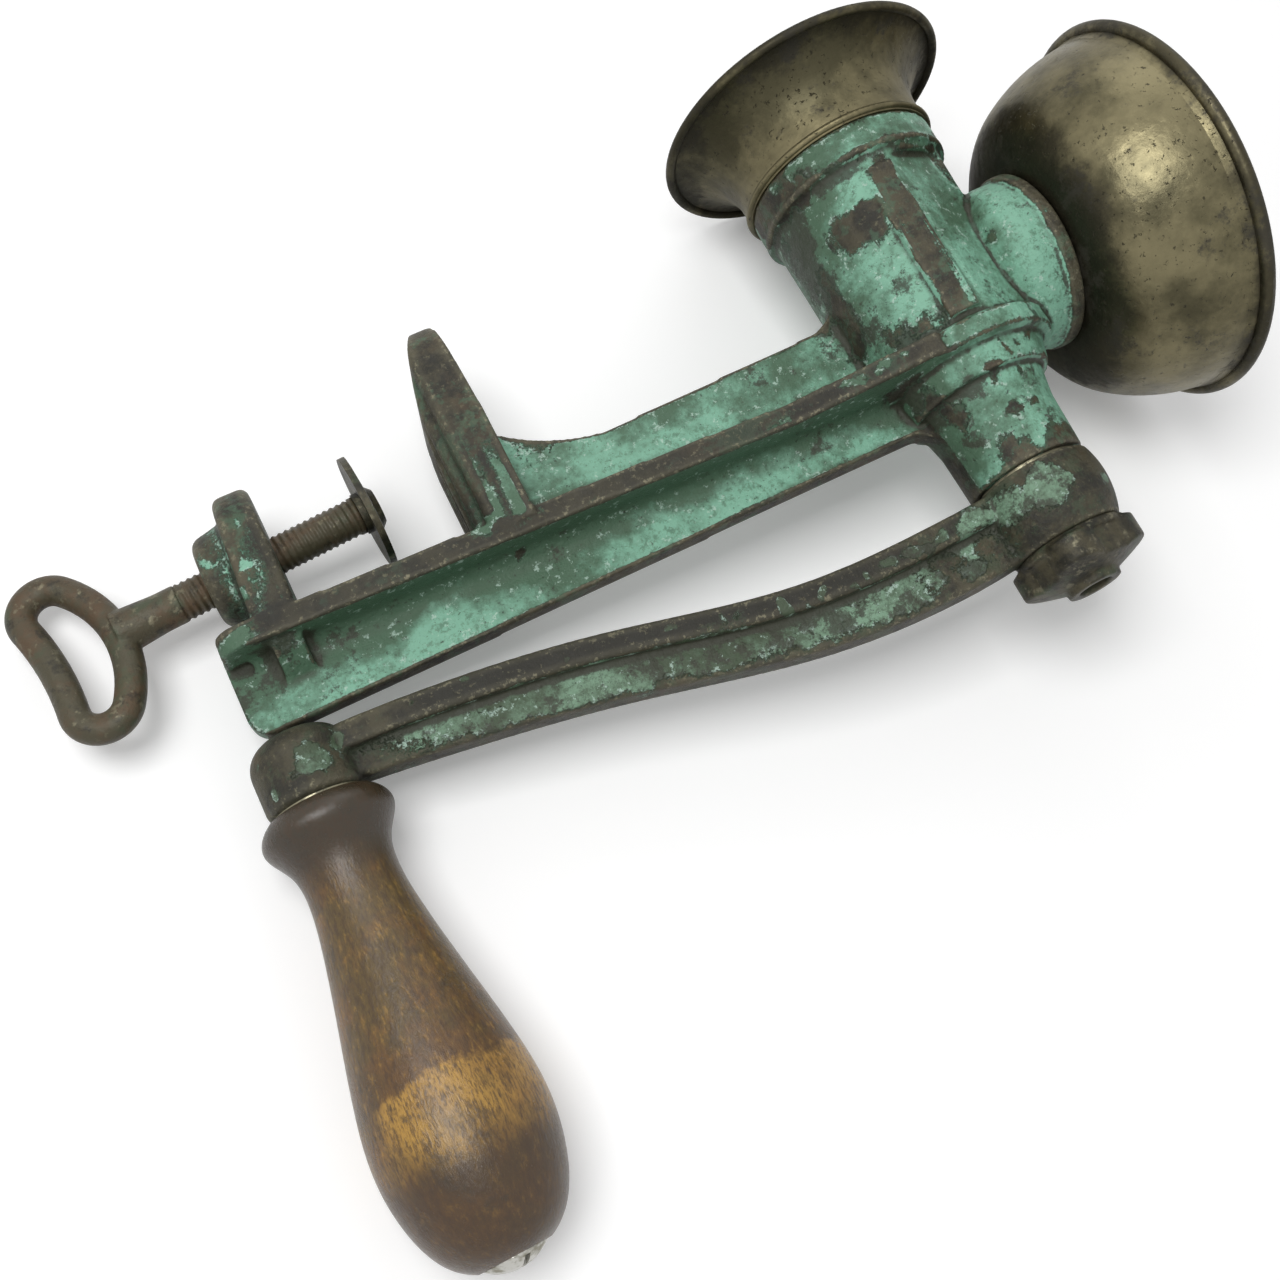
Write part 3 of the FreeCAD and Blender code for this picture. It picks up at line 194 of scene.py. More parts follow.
class Finish(Nodes):
    """One material: a principled shader and the nodes that feed it.

    The scale of a noise is its count of lumps in a metre.
    """

    def __init__(self, name):
        self.material = bpy.data.materials.new(name)
        super().__init__(self.material, "ShaderNodeOutputMaterial")
        self.shader = self.make("ShaderNodeBsdfPrincipled")
        self.feed(self.result, self.shader.outputs["BSDF"])
        self.place = self.make("ShaderNodeTexCoord").outputs["Object"]

    def add(self, *values):
        total = values[0]
        for value in values[1:]:
            total = self.math("ADD", total, value)
        return total

    def times(self, first, second):
        return self.math("MULTIPLY", first, second)

    def less(self, first, second):
        return self.math("SUBTRACT", first, second)

    def noise(self, scale, detail=4.0, roughness=0.55, place=None):
        """Noise from 0 to 1."""
        node = self.make("ShaderNodeTexNoise", place or self.place,
                         Scale=scale, Detail=detail, Roughness=roughness)
        return node.outputs["Fac"]

    def swing(self, scale, amount, detail=4.0, roughness=0.55):
        """Noise about zero."""
        return self.times(self.less(self.noise(scale, detail, roughness), 0.5), amount)

    def stretched(self, scale, offset=(0.0, 0.0, 0.0)):
        """The place with its axes stretched, for a pattern that has a direction."""
        node = self.make("ShaderNodeMapping", self.place, Location=offset, Scale=scale)
        return node.outputs["Vector"]

    def part_of(self, value, low, high):
        """0 where the value is below low, 1 above high, smooth between."""
        node = self.make("ShaderNodeMapRange", value, From_Min=low, From_Max=high)
        node.interpolation_type = "SMOOTHSTEP"
        return node.outputs["Result"]

    def between(self, amount, low, high):
        """A number that goes from low to high as amount goes from 0 to 1."""
        node = self.make("ShaderNodeMapRange", amount, To_Min=low, To_Max=high)
        return node.outputs["Result"]

    def blend(self, amount, first, second):
        """The first colour where the amount is 0, the second where it is 1."""
        node = self.tree.nodes.new("ShaderNodeMix")
        node.data_type = "RGBA"
        self.feed(node.inputs[0], amount)
        self.feed(node.inputs[6], first)
        self.feed(node.inputs[7], second)
        return node.outputs[2]

    def attribute(self, name):
        node = self.make("ShaderNodeAttribute")
        node.attribute_name = name
        return node.outputs["Fac"]

    def axis(self, letter):
        return self.make("ShaderNodeSeparateXYZ", self.place).outputs[letter]

    def bump(self, height, distance):
        node = self.make("ShaderNodeBump", Strength=1.0, Distance=distance, Height=height)
        self.feed(self.shader.inputs["Normal"], node.outputs["Normal"])

    def surface(self, **values):
        self.feed_named(self.shader, values)


# Depths of the small relief, and how strongly each kind of skin mirrors the room
ENAMEL_DEPTH = 0.36 * MM
METAL_DEPTH = 0.28 * MM
WOOD_DEPTH = 0.14 * MM
STEEL_DEPTH = 0.08 * MM
ENAMEL_MIRROR = 0.32
IRON_MIRROR = 0.35
WOOD_MIRROR = 0.48

# Wear at which the enamel's rim turns chalky, at which it has gone, and at which its last
# stain has gone as well
RIM_WEAR = (0.33, 0.49)
BARE_WEAR = (0.478, 0.535)
STAIN_WEAR = (0.50, 0.64)

# Where the looks of the grip change, along Y: its bead ends, it darkens, and its golden
# belly starts and ends
BEAD_END = (0.054, 0.067)
DARKER = (0.088, 0.098)
BELLY_START = (0.0992, 0.1008)
BELLY_END = (0.1085, 0.1175)


def bare_iron(f, colours, painted_shade_and_stain, hollow, edge, old_paint):
    """Old cast iron: dark skin, a little paint left in its pores, light crumbs on its edges,
    painted shading in its hollows and corners.
    """
    iron = f.blend(f.part_of(f.noise(170, 6, 0.68), 0.38, 0.62), colours.iron_dark, colours.iron)
    rusty = f.part_of(f.add(f.noise(64, 5, 0.62), f.swing(480, 0.2, 4)), 0.55, 0.70)
    iron = f.blend(f.times(rusty, 0.5), iron, colours.rust)
    residue = f.part_of(f.add(f.noise(115, 5, 0.68), f.swing(760, 0.30, 4)), 0.53, 0.63)
    iron = f.blend(f.times(residue, 0.55), iron, old_paint)
    # Painted shade in the casting's corners, and the crank's dark rail, darken the bare iron
    iron = f.blend(f.times(painted_shade_and_stain, 0.7), iron, colours.iron_dark)
    iron = f.blend(f.times(edge, 0.16), iron, colours.iron_worn)
    crumbs = f.part_of(f.add(f.noise(900, 5, 0.72), f.times(edge, 0.05)), 0.585, 0.655)
    iron = f.blend(f.times(crumbs, f.between(edge, 0.35, 0.7)), iron, colours.iron_worn)
    # Painted shade: the hollows are darkened
    return f.blend(f.times(hollow, 0.85), iron, colours.iron_dark), crumbs


def enamel_finish(name, colours, clean, deep):
    """Enamel that has chipped off the cast iron, mostly along edges, with painted shading in its
    creases and corners.
    """
    f = Finish(name)
    hollow = f.part_of(f.attribute("hollow"), 0.15, 0.85)
    edge = f.part_of(f.attribute("edge"), 0.2, 0.8)
    painted_shade_and_stain = f.attribute("painted_shade_and_stain")
    grime = f.attribute("grime")
    amount = f.add(f.attribute("wear"), f.swing(75, 0.38, 5, 0.6),
                   f.swing(330, 0.50, 6, 0.76), f.swing(1400, 0.62, 5, 0.78))
    bare = f.part_of(amount, *BARE_WEAR)
    rim = f.part_of(amount, *RIM_WEAR)
    # Stains, with the painted shade of the casting's corners, carry the enamel towards its deep
    # colour
    stain = f.add(f.noise(46, 5, 0.6), f.swing(230, 0.40, 6, 0.74), f.times(painted_shade_and_stain, 0.36))
    enamel = f.blend(f.part_of(stain, 0.42, 0.68), clean, deep)
    mottle = f.part_of(f.add(f.noise(560, 6, 0.78), f.times(grime, 0.06), f.times(rim, 0.03)),
                       0.50, 0.62)
    enamel = f.blend(f.times(mottle, 0.58), enamel, deep)
    bloom = f.add(f.noise(520, 5, 0.74, f.stretched((1, 1, 1), (0.3, 0.1, 0.2))),
                  f.times(rim, 0.10))
    enamel = f.blend(f.times(f.part_of(bloom, 0.585, 0.66), 0.7), enamel, colours.mint_chalk)
    # Dirt, with painted shade in the hollows
    dirt_and_crease_shade = f.add(f.noise(125, 7, 0.74), f.times(grime, 0.19), f.times(hollow, 0.20),
                 f.times(rim, 0.05), f.swing(700, 0.30, 4, 0.72))
    enamel = f.blend(f.times(f.part_of(dirt_and_crease_shade, 0.585, 0.68), 0.85), enamel, colours.grime)
    # Painted shade: dark lines along the creases
    painted_crease_shade = f.times(hollow, f.between(f.noise(210, 4, 0.6), 0.35, 1.2))
    enamel = f.blend(f.math("MINIMUM", painted_crease_shade, 0.9), enamel, colours.grime)
    specks = f.part_of(f.noise(820, 6, 0.78), 0.60, 0.65)
    enamel = f.blend(f.times(specks, 0.85), enamel, colours.iron_dark)
    iron, crumbs = bare_iron(f, colours, painted_shade_and_stain, hollow, edge, deep)
    fringe = f.times(f.less(1.0, f.part_of(amount, *STAIN_WEAR)), 0.62)
    iron = f.blend(fringe, iron, deep)
    f.surface(
        Base_Color=f.blend(bare, enamel, iron),
        Roughness=f.add(f.between(bare, 0.42, 0.50), f.swing(300, 0.3)),
        Metallic=f.times(f.times(bare, crumbs), 0.6),
    )
    f.shader.inputs["Specular IOR Level"].default_value = ENAMEL_MIRROR
    skin = f.add(f.times(f.less(1.0, bare), 0.6), f.swing(520, 1.2, 6, 0.72), f.swing(130, 0.9))
    f.bump(skin, ENAMEL_DEPTH)
    return f.material


def brass_finish(name, colours, letter, middle, half, dullness):
    """Tarnished brass, brighter at its middle and dark half a length away from it."""
    f = Finish(name)
    away = f.math("ABSOLUTE", f.less(f.axis(letter), middle))
    ends = f.part_of(f.add(away, f.swing(80, 0.014, 6, 0.72)), 0.66 * half, 0.90 * half)
    clouds = f.part_of(f.add(f.noise(34, 5, 0.62), f.swing(190, 0.25, 6, 0.7)), 0.38, 0.66)
    base = f.blend(clouds, colours.brass_dull, colours.brass)
    base = f.blend(f.times(ends, 0.75), base, colours.brass_dark)
    marks = f.add(f.noise(62, 7, 0.72), f.swing(480, 0.35, 6, 0.75), f.times(ends, 0.08))
    stains = f.part_of(marks, 0.56, 0.69)
    base = f.blend(f.times(stains, 0.8), base, colours.brass_dark)
    pits = f.part_of(f.noise(820, 5, 0.7), 0.60, 0.68)
    base = f.blend(f.times(pits, 0.75), base, colours.brass_dark)
    f.surface(
        Base_Color=base,
        Roughness=f.add(f.between(stains, 0.36, 0.58), f.swing(110, 0.25), f.times(ends, 0.08),
                        dullness),
        Metallic=f.between(stains, 0.92, 0.5),
    )
    f.bump(f.add(f.swing(75, 1.0, 3), f.swing(560, 0.35, 5), f.times(pits, -0.3)), METAL_DEPTH)
    return f.material


def wood_finish(name, colours):
    """Turned wood: dark at both ends, rubbed golden across its belly, with short flecks."""
    f = Finish(name)
    along = f.axis("Y")
    flecks = f.noise(2500, 4, 0.72, f.stretched((1.0, 0.2, 1.0)))
    grain = f.noise(820, 6, 0.74, f.stretched((1.0, 0.36, 1.0)))
    blotch = f.add(f.noise(58, 6, 0.64), f.swing(300, 0.40, 6, 0.76))
    drift = f.add(along, f.swing(45, 0.006, 4), f.swing(300, 0.0045, 5, 0.7))
    top = f.less(1.0, f.part_of(drift, *BEAD_END))
    end = f.part_of(f.add(along, f.swing(60, 0.014, 5)), *BELLY_END)
    started = f.part_of(drift, *BELLY_START)
    band = f.times(started, f.less(1.0, end))
    before = f.times(f.part_of(drift, *DARKER), f.less(1.0, started))
    patchy = f.part_of(f.noise(38, 4, 0.55), 0.34, 0.58)
    base = f.blend(f.part_of(blotch, 0.40, 0.60), colours.wood, colours.wood_red)
    base = f.blend(f.times(before, 0.4), base, colours.wood_dark)
    base = f.blend(f.times(f.times(band, patchy), 0.92), base, colours.wood_gold)
    base = f.blend(f.times(end, f.between(f.noise(170, 5, 0.7), 0.45, 1.05)), base,
                   colours.wood_dark)
    base = f.blend(f.times(top, 0.88), base, colours.wood_soot)
    base = f.blend(f.times(f.part_of(grain, 0.48, 0.62), 0.6), base, colours.wood_dark)
    smudge = f.part_of(f.add(f.noise(66, 6, 0.72), f.swing(420, 0.30, 4, 0.7)), 0.54, 0.65)
    base = f.blend(f.times(smudge, 0.6), base, colours.wood_soot)
    short = f.times(f.part_of(flecks, 0.48, 0.61), f.between(band, 0.45, 0.68))
    base = f.blend(short, base, colours.wood_dark)
    pale = f.times(f.part_of(f.less(1.0, grain), 0.54, 0.66), f.less(1.0, top))
    base = f.blend(f.times(pale, f.between(end, 0.34, 0.12)), base, colours.wood_gold)
    f.surface(Base_Color=base, Roughness=f.add(0.22, f.swing(170, 0.25), f.times(smudge, 0.1),
                                               f.swing(900, 0.2, 4)))
    f.shader.inputs["Specular IOR Level"].default_value = WOOD_MIRROR
    f.bump(f.add(f.times(grain, 0.9), f.times(flecks, 0.5), f.swing(230, 0.8)), WOOD_DEPTH)
    return f.material


def rusty_finish(name, colours):
    """Iron with a thin, handled coat of rust and a green bloom."""
    f = Finish(name)
    patch = f.part_of(f.add(f.noise(120, 6, 0.66), f.swing(700, 0.25, 5)), 0.40, 0.64)
    base = f.blend(patch, colours.iron, colours.rust)
    bloom = f.part_of(f.add(f.noise(95, 5, 0.64), f.swing(520, 0.2, 5)), 0.54, 0.66)
    base = f.blend(f.times(bloom, 0.55), base, colours.olive_deep)
    dark = f.part_of(f.noise(230, 6, 0.72), 0.52, 0.66)
    base = f.blend(f.times(dark, 0.75), base, colours.iron_dark)
    shine = f.part_of(f.noise(430, 4, 0.62), 0.575, 0.68)
    base = f.blend(f.times(shine, 0.55), base, colours.iron_worn)
    f.surface(
        Base_Color=base,
        Roughness=f.add(f.between(patch, 0.40, 0.55), f.swing(260, 0.25)),
        Metallic=f.between(shine, 0.15, 0.6),
    )
    f.shader.inputs["Specular IOR Level"].default_value = IRON_MIRROR
    f.bump(f.add(f.swing(480, 1.0, 6, 0.7), f.swing(150, 0.8)), METAL_DEPTH)
    return f.material


def iron_finish(name, colours):
    """Dark cast iron, rubbed bright in flecks."""
    f = Finish(name)
    base = f.blend(f.part_of(f.noise(210, 6, 0.66), 0.36, 0.64), colours.iron_dark, colours.iron)
    bloom = f.part_of(f.noise(140, 5, 0.66), 0.50, 0.64)
    base = f.blend(f.times(bloom, 0.5), base, colours.olive_deep)
    shine = f.times(f.part_of(f.noise(430, 5, 0.66), 0.56, 0.68), 0.6)
    base = f.blend(shine, base, colours.iron_worn)
    f.surface(
        Base_Color=base,
        Roughness=f.add(0.44, f.swing(240, 0.3)),
        Metallic=f.between(shine, 0.3, 0.8),
    )
    f.shader.inputs["Specular IOR Level"].default_value = IRON_MIRROR
    f.bump(f.add(f.swing(520, 1.0, 6, 0.7), f.swing(160, 0.9)), METAL_DEPTH)
    return f.material


def steel_finish(name, clean, stained):
    """Old turned steel with fine scratches and stains."""
    f = Finish(name)
    stains = f.part_of(f.add(f.noise(260, 6, 0.7), f.swing(900, 0.3, 4)), 0.50, 0.66)
    base = f.blend(f.times(stains, 0.85), clean, stained)
    f.surface(
        Base_Color=base,
        Roughness=f.add(f.between(stains, 0.32, 0.55), f.swing(700, 0.2)),
        Metallic=f.between(stains, 0.95, 0.5),
    )
    f.bump(f.swing(900, 1.0, 4), STEEL_DEPTH)
    return f.material


# Mesh work

SAME_PLACE = 0.002 * MM         # points of a solid's mesh that are closer are one point
BULGE_ROUNDS = 14               # how far round a point its surroundings reach
BULGE_FULL = 0.35 * MM          # height at which an edge counts in full
HOLLOW_KEEPS = 0.10             # wear that a full hollow takes off
RAGGED_PUSHES = ((7.0, 2.4), (2.4, 1.3))    # size of the waves and their push, millimetres
RAGGED_SEED = 1795629378        # lays the waves in the same places each run
SPOT_REACH = 1.7                # a spot ends at this many of its radii
SPOT_FADE = 1.2                 # and fades over this many


def new_object(name, data):
    """A new object in the scene."""
    thing = bpy.data.objects.new(name, data)
    bpy.context.scene.collection.objects.link(thing)
    return thing


def node_copy(node, name):
    """A new object with a merged copy of a CAD node's mesh."""
    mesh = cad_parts[node].data.copy()
    mesh.name = name
    mesh.materials.clear()
    shape = bmesh.new()
    shape.from_mesh(mesh)
    bmesh.ops.remove_doubles(shape, verts=shape.verts, dist=SAME_PLACE)
    bmesh.ops.recalc_face_normals(shape, faces=shape.faces)
    shape.to_mesh(mesh)
    shape.free()
    return new_object(name, mesh)


def apply_modifiers(piece):
    """Bakes the piece's modifiers into its mesh."""
    bpy.context.view_layer.update()
    graph = bpy.context.evaluated_depsgraph_get()
    mesh = bpy.data.meshes.new_from_object(piece.evaluated_get(graph))
    old = piece.data
    piece.modifiers.clear()
    piece.data = mesh
    bpy.data.meshes.remove(old)


def remesh(piece, grain):
    """Gives the piece an even skin of small faces, as a casting has."""
    modifier = piece.modifiers.new("grain", "REMESH")
    modifier.mode = "VOXEL"
    modifier.voxel_size = grain
    modifier.use_smooth_shade = True
    apply_modifiers(piece)


def vertex_values(mesh, name):
    """Three numbers for each vertex: its place, "co", or its "normal"."""
    flat = np.empty(len(mesh.vertices) * 3)
    mesh.vertices.foreach_get(name, flat)
    return flat.reshape(-1, 3)


def neighbour_mean(mesh, values, rounds):
    """Values averaged over each vertex's neighbours, again and again."""
    ends = np.empty(len(mesh.edges) * 2, dtype=np.int64)
    mesh.edges.foreach_get("vertices", ends)
    first, second = ends.reshape(-1, 2).T
    count = len(mesh.vertices)
    degree = np.bincount(first, minlength=count) + np.bincount(second, minlength=count)
    degree = np.maximum(degree, 1)
    result = values.copy()
    for _ in range(rounds):
        total = np.empty_like(result)
        for column in range(result.shape[1]):
            total[:, column] = (
                np.bincount(first, result[second, column], count)
                + np.bincount(second, result[first, column], count))
        result = total / degree[:, None]
    return result


def bulge(mesh):
    """How far each vertex stands out of its surroundings: 1 in full, negative in hollows."""
    places = vertex_values(mesh, "co")
    smooth = neighbour_mean(mesh, places, BULGE_ROUNDS)
    height = np.einsum("ij,ij->i", places - smooth, vertex_values(mesh, "normal"))
    return height / BULGE_FULL


def soften(piece, rounds):
    """Smooths the piece's skin."""
    mesh = piece.data
    places = vertex_values(mesh, "co")
    for _ in range(rounds):
        places = places + 0.5 * (neighbour_mean(mesh, places, 1) - places)
    mesh.vertices.foreach_set("co", places.ravel())
    mesh.update()


def write_attribute(mesh, name, values):
    layer = mesh.attributes.new(name, "FLOAT", "POINT")
    layer.data.foreach_set("value", values.astype(np.float32))


def ramp(values, low, high):
    """0 where the values are below low, 1 above high."""
    return np.clip((values - low) / (high - low), 0, 1)


def ragged(places):
    """The places pushed about a little, so that what is drawn by them has a ragged outline."""
    noise.seed_set(RAGGED_SEED)
    pushed = places / MM
    for size, amount in RAGGED_PUSHES:
        push = [noise.noise_vector(Vector(place) / size) for place in pushed]
        pushed = pushed + amount * np.array(push)
    return pushed * MM


def near(places, spots):
    """Sum of soft round spots, each (x, y, z, radius, amount) in millimetres."""
    total = np.zeros(len(places))
    for x, y, z, radius, amount in spots:
        away = np.linalg.norm(places / MM - (x, y, z), axis=1) / radius
        total += amount * ramp(SPOT_REACH - away, 0, SPOT_FADE)
    return total


def wear_down(piece, wear, painted_shade_and_stain, grime, edge_gain):
    """Writes the attributes that the enamel reads, from the bulge and the given places."""
    mesh = piece.data
    height = bulge(mesh)
    edge = np.clip(height, 0, 1)
    hollow = np.clip(-height, 0, 1)
    write_attribute(mesh, "wear", wear + edge_gain * edge - HOLLOW_KEEPS * hollow)
    write_attribute(mesh, "painted_shade_and_stain", painted_shade_and_stain)
    write_attribute(mesh, "grime", grime)
    write_attribute(mesh, "edge", edge)
    # The hollows also feed the painted shade of the finishes
    write_attribute(mesh, "hollow", hollow)


def thin(piece, share):
    """Drops the faces that an even surface doesn't need."""
    modifier = piece.modifiers.new("thin", "DECIMATE")
    modifier.ratio = share
    apply_modifiers(piece)


def dress(piece, body, slot, finish, *nodes):
    """Finishes a piece, rides it on its body and lets it stand for its CAD nodes."""
    piece.data.materials.clear()
    piece.data.materials.append(finish)
    for polygon in piece.data.polygons:
        polygon.use_smooth = True
    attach(piece, body)
    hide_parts(*nodes)


def finish_nodes(finish, *nodes):
    """Gives CAD nodes a finish in place of their plain one."""
    for node in nodes:
        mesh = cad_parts[node].data
        mesh.materials.clear()
        mesh.materials.append(finish)


# Casting

# Lines of the casting in millimetres; pairs of rows are heights and what holds at them
SHAFT_HEIGHT = 110.5
FLANGE_AT_SHAFT = 16.6
FLANGE_LEAN = math.tan(math.radians(2.1))
FLANGE_HALF_WIDTH = ((68.5, 101.5), (13.0, 19.8))
WEB_HALF_WIDTH = 4.5
WEB_BACK = ((-54, 91.5), (28.0, 26.5))
WEB_FRONT = ((12.6, 17, 34.7, 84.6), (-12.6, -6.0, -2.3, -3.6))
BEAM_TOP = 104
STRIP_ANGLE = -3.5              # degrees round the shaft
STRIP_HALF_ANGLE = 10.0
CORNER_REACH = ((10, 50), (10.5, 7.5))      # how far the painted shade beside the flange reaches
CASTING_EDGE_WEAR = 0.40

# Bare places on the casting: (x, y, z, radius, amount) in millimetres; a negative amount
# keeps the enamel there
BARREL_SPOTS = (
    (17, -17, 100, 3.7, 0.5), (18, -13, 102, 4.2, 0.55), (15, -15, 96, 2.5, 0.4),
    (19, -18, 103, 1.9, 0.4), (7, -7, 92, 3.7, 0.35), (6, -1, 91, 4.3, 0.4),
    (4, 5, 91, 3.7, 0.5), (7, -13, 91, 2.7, 0.35), (13, 8, 95, 3.1, 0.4),
    (17, 11, 100, 2.6, 0.35), (19, 12, 104, 2.3, 0.4), (18, 0, 101, 1.4, 0.4),
    (7, -33, 89, 3.3, 0.4), (14, -32, 93, 2.4, 0.3), (0, -33, 88, 2.8, 0.4),
    (19, -28, 118, 3.2, 0.4), (12, -27, 126, 2.7, 0.5), (22, -30, 114, 1.3, 0.4),
    (8, -28, 92, 2.4, 0.3), (13, -28, 95, 1.7, 0.3), (21, -25, 110, 2.6, 0.5),
    (20, -29, 105, 2.8, 0.35), (14, -30, 93, 3.2, 0.45), (17, -31, 97, 2.4, 0.35),
    (8, -31, 90, 3.2, 0.4), (12, -23, 126, 2.2, 0.4), (12, -19, 126, 1.6, 0.4),
    (11, -14, 128, 1.3, 0.5),
    (19, -24, 102, 4.2, -0.25), (8, -23, 92, 3.2, -0.2), (18, -6, 102, 4.2, -0.3),
    (19, 4, 106, 3.6, -0.25), (17, -16, 118, 2.7, -0.3), (19, 3, 115, 2.6, -0.35),
    (16, 13, 120, 2.6, -0.3),
)
NECK_SPOTS = (
    (12, -16, 137, 1.6, 0.4), (20, 3, 139, 1.7, 0.4), (15, -1, 125, 1.4, 0.6),
    (14, 11, 124, 1.1, 0.4), (19, -1, 131, 6.3, -0.3), (16, 11, 132, 4.2, -0.25),
)
HUB_SPOTS = (
    (12, 19, 95, 3.1, 0.4), (8, 18, 91, 2.6, 0.5), (16, 20, 102, 1.2, 0.3),
    (17, 22, 113, 1.4, 0.4), (15, 25, 109, 1.6, 0.5), (13, 26, 116, 1.2, 0.4),
    (15, 19, 122, 1.5, 0.5), (8, 25, 123, 1.5, 0.4), (17, 20, 117, 1.2, 0.4),
    (13, 34, 110, 2.0, 0.6), (12, 34, 115, 1.3, 0.5), (9, 30, 100, 3.4, 0.5),
    (10, 25, 97, 2.6, 0.5), (4, 24, 94, 2.3, 0.4), (11, 44, 115, 3.1, 0.6),
    (12, 44, 106, 2.8, 0.6), (9, 42, 120, 2.1, 0.5), (11, 40, 104, 2.0, 0.5),
    (12, 39, 116, 1.2, 0.4), (13, 29, 107, 2.8, -0.3), (15, 25, 103, 3.1, -0.3),
)
BEAM_SPOTS = (
    (2, -1, 58, 1.5, 0.5), (2, -1, 62, 1.2, 0.4), (2, 5, 49, 0.9, 0.3), (2, 0, 29, 1.6, 0.25),
    (2, 1, 15, 1.0, 0.5), (5, 16, 7, 1.2, 0.6), (2, 24, 34, 0.5, 0.5), (3, 21, 20, 0.7, 0.35),
    (3, 20, 14, 0.6, 0.3),
)
JAW_CHIPS = (
    (14, 7, 9, 1.3, -0.7), (14, 11, 10, 1.5, -0.7), (13, 11, 3, 1.2, -0.7),
    (13, 11, 0, 1.7, -0.7), (14, -2, 9, 0.7, -0.6), (13, 12, -8, 0.5, -0.6),
    (13, 11, 6, 1.0, -0.6),
)
EAR_SPOTS = (
    (13, 12, -42, 2.7, 0.6), (8, 15, -42, 2.1, 0.4), (13, 13, -45, 1.5, 0.3),
    (6, 17, -44, 1.2, -0.5), (12, 3, -45, 1.0, -0.6), (13, 7, -40, 0.8, -0.6),
    (13, -2, -43, 0.8, -0.6), (13, 4, -38, 0.7, -0.6), (12, -10, -41, 0.8, -0.6),
    (13, -6, -38, 0.6, -0.6), (13, 1, -40, 0.6, -0.6), (9, -8, -49, 1.6, -0.4),
    (9, -2, -49, 1.0, -0.5), (3, 17, -51, 4.0, -0.35), (12, 13, -51, 2.4, -0.4),
    (3, 24, -48, 5.0, -0.2),
)
RAIL_CHIPS = (
    (16, 15, 84, 1.5, -0.6), (17, 15, 89, 1.3, -0.6), (18, 14, 93, 1.3, -0.6),
    (15, 15, 81, 1.1, -0.6), (19, 14, 98, 1.0, -0.5), (20, 14, 104, 1.1, -0.5),
    (15, 15, 77, 0.7, -0.5), (13, 16, 67, 0.6, -0.4),
)
# Dirty places: (x, y, z, radius, amount)
BODY_GRIME = (
    (5, -21, 91, 5.1, 1.2), (4, -11, 91, 4.5, 1.2), (4, -3, 91, 3.9, 1.4),
    (10, 5, 93, 3.3, 1.3), (15, 11, 98, 3.0, 1.2), (18, -28, 100, 3.1, 1.1),
    (21, -23, 106, 2.4, 1.0), (10, -29, 92, 3.2, 1.2), (1, -29, 89, 2.6, 1.0),
    (8, 21, 95, 3.1, 1.2), (5, 27, 97, 3.3, 1.3), (8, 35, 100, 3.3, 1.0),
    (12, 26, 103, 2.4, 1.0), (12, 28, 117, 2.4, 0.8), (11, 39, 118, 2.7, 0.8),
    (20, -28, 116, 1.8, 1.0), (11, -29, 130, 1.8, 1.0), (18, -32, 97, 2.0, 0.9),
    (16, 18, 124, 2.0, 0.9), (15, 10, 121, 1.5, 0.9), (17, -18, 100, 2.4, 0.7),
    (18, 1, 103, 2.7, 0.6), (7, 13, -43, 3.6, 1.2), (12, 13, -42, 2.6, 0.9),
)


def beside_flange(y, z):
    """Distance from the flange's middle plane."""
    return abs(y - (FLANGE_AT_SHAFT + (z - SHAFT_HEIGHT) * FLANGE_LEAN))


def casting_wear(places):
    """Where the casting is bare: its rims, the jaw, the strip on the barrel and the spots."""
    x, y, z = (places / MM).T
    pushed = ragged(places)
    px, py, pz = (pushed / MM).T
    side = np.abs(x)
    under_barrel = ramp(BEAM_TOP - z, 0, 3)
    on_web = ramp(WEB_HALF_WIDTH - side, 0, 1)
    flange_edge = (ramp(side - np.interp(z, *FLANGE_HALF_WIDTH), -1.1, -0.5)
                   * ramp(3.2 - beside_flange(y, z), 0, 0.5)
                   * under_barrel * ramp(z, -42, -38))
    back_rim = ramp(y - np.interp(z, *WEB_BACK), -0.8, -0.3) * on_web * under_barrel
    front_rim = (ramp(np.interp(z, *WEB_FRONT) - y, -0.8, -0.3) * on_web
                 * ramp(z, 13, 15) * ramp(93 - z, 0, 3))
    jaw = ramp(9.5 - y, 0, 2) * ramp(z, -3, -2) * ramp(14 - z, 0, 1.5)
    ear = ramp(11.0 - y, 0, 2) * ramp(-33 - z, 0, 1)
    lip = ramp(-37 - y, 0, 1) * ramp(z, 80, 84)
    seat = ramp(z, 134.0, 135.0) * ramp(np.hypot(x, y), 18.6, 19.8)
    around = np.degrees(np.arctan2(pz - SHAFT_HEIGHT, px))
    strip = (ramp(STRIP_HALF_ANGLE - abs(around - STRIP_ANGLE), 0, 5.0)
             * ramp(py, -27.0, -23) * ramp(14.5 - py, 0, 3.5) * ramp(x, 12, 14))
    wear = (0.17 + 0.46 * flange_edge + 0.50 * back_rim + 0.26 * front_rim
            + 0.62 * jaw + 0.36 * ear + 0.38 * strip + 0.22 * lip + 0.35 * seat)
    for spots in (BARREL_SPOTS, NECK_SPOTS, HUB_SPOTS, BEAM_SPOTS, JAW_CHIPS, EAR_SPOTS,
                  RAIL_CHIPS):
        wear += near(pushed, spots)
    return wear


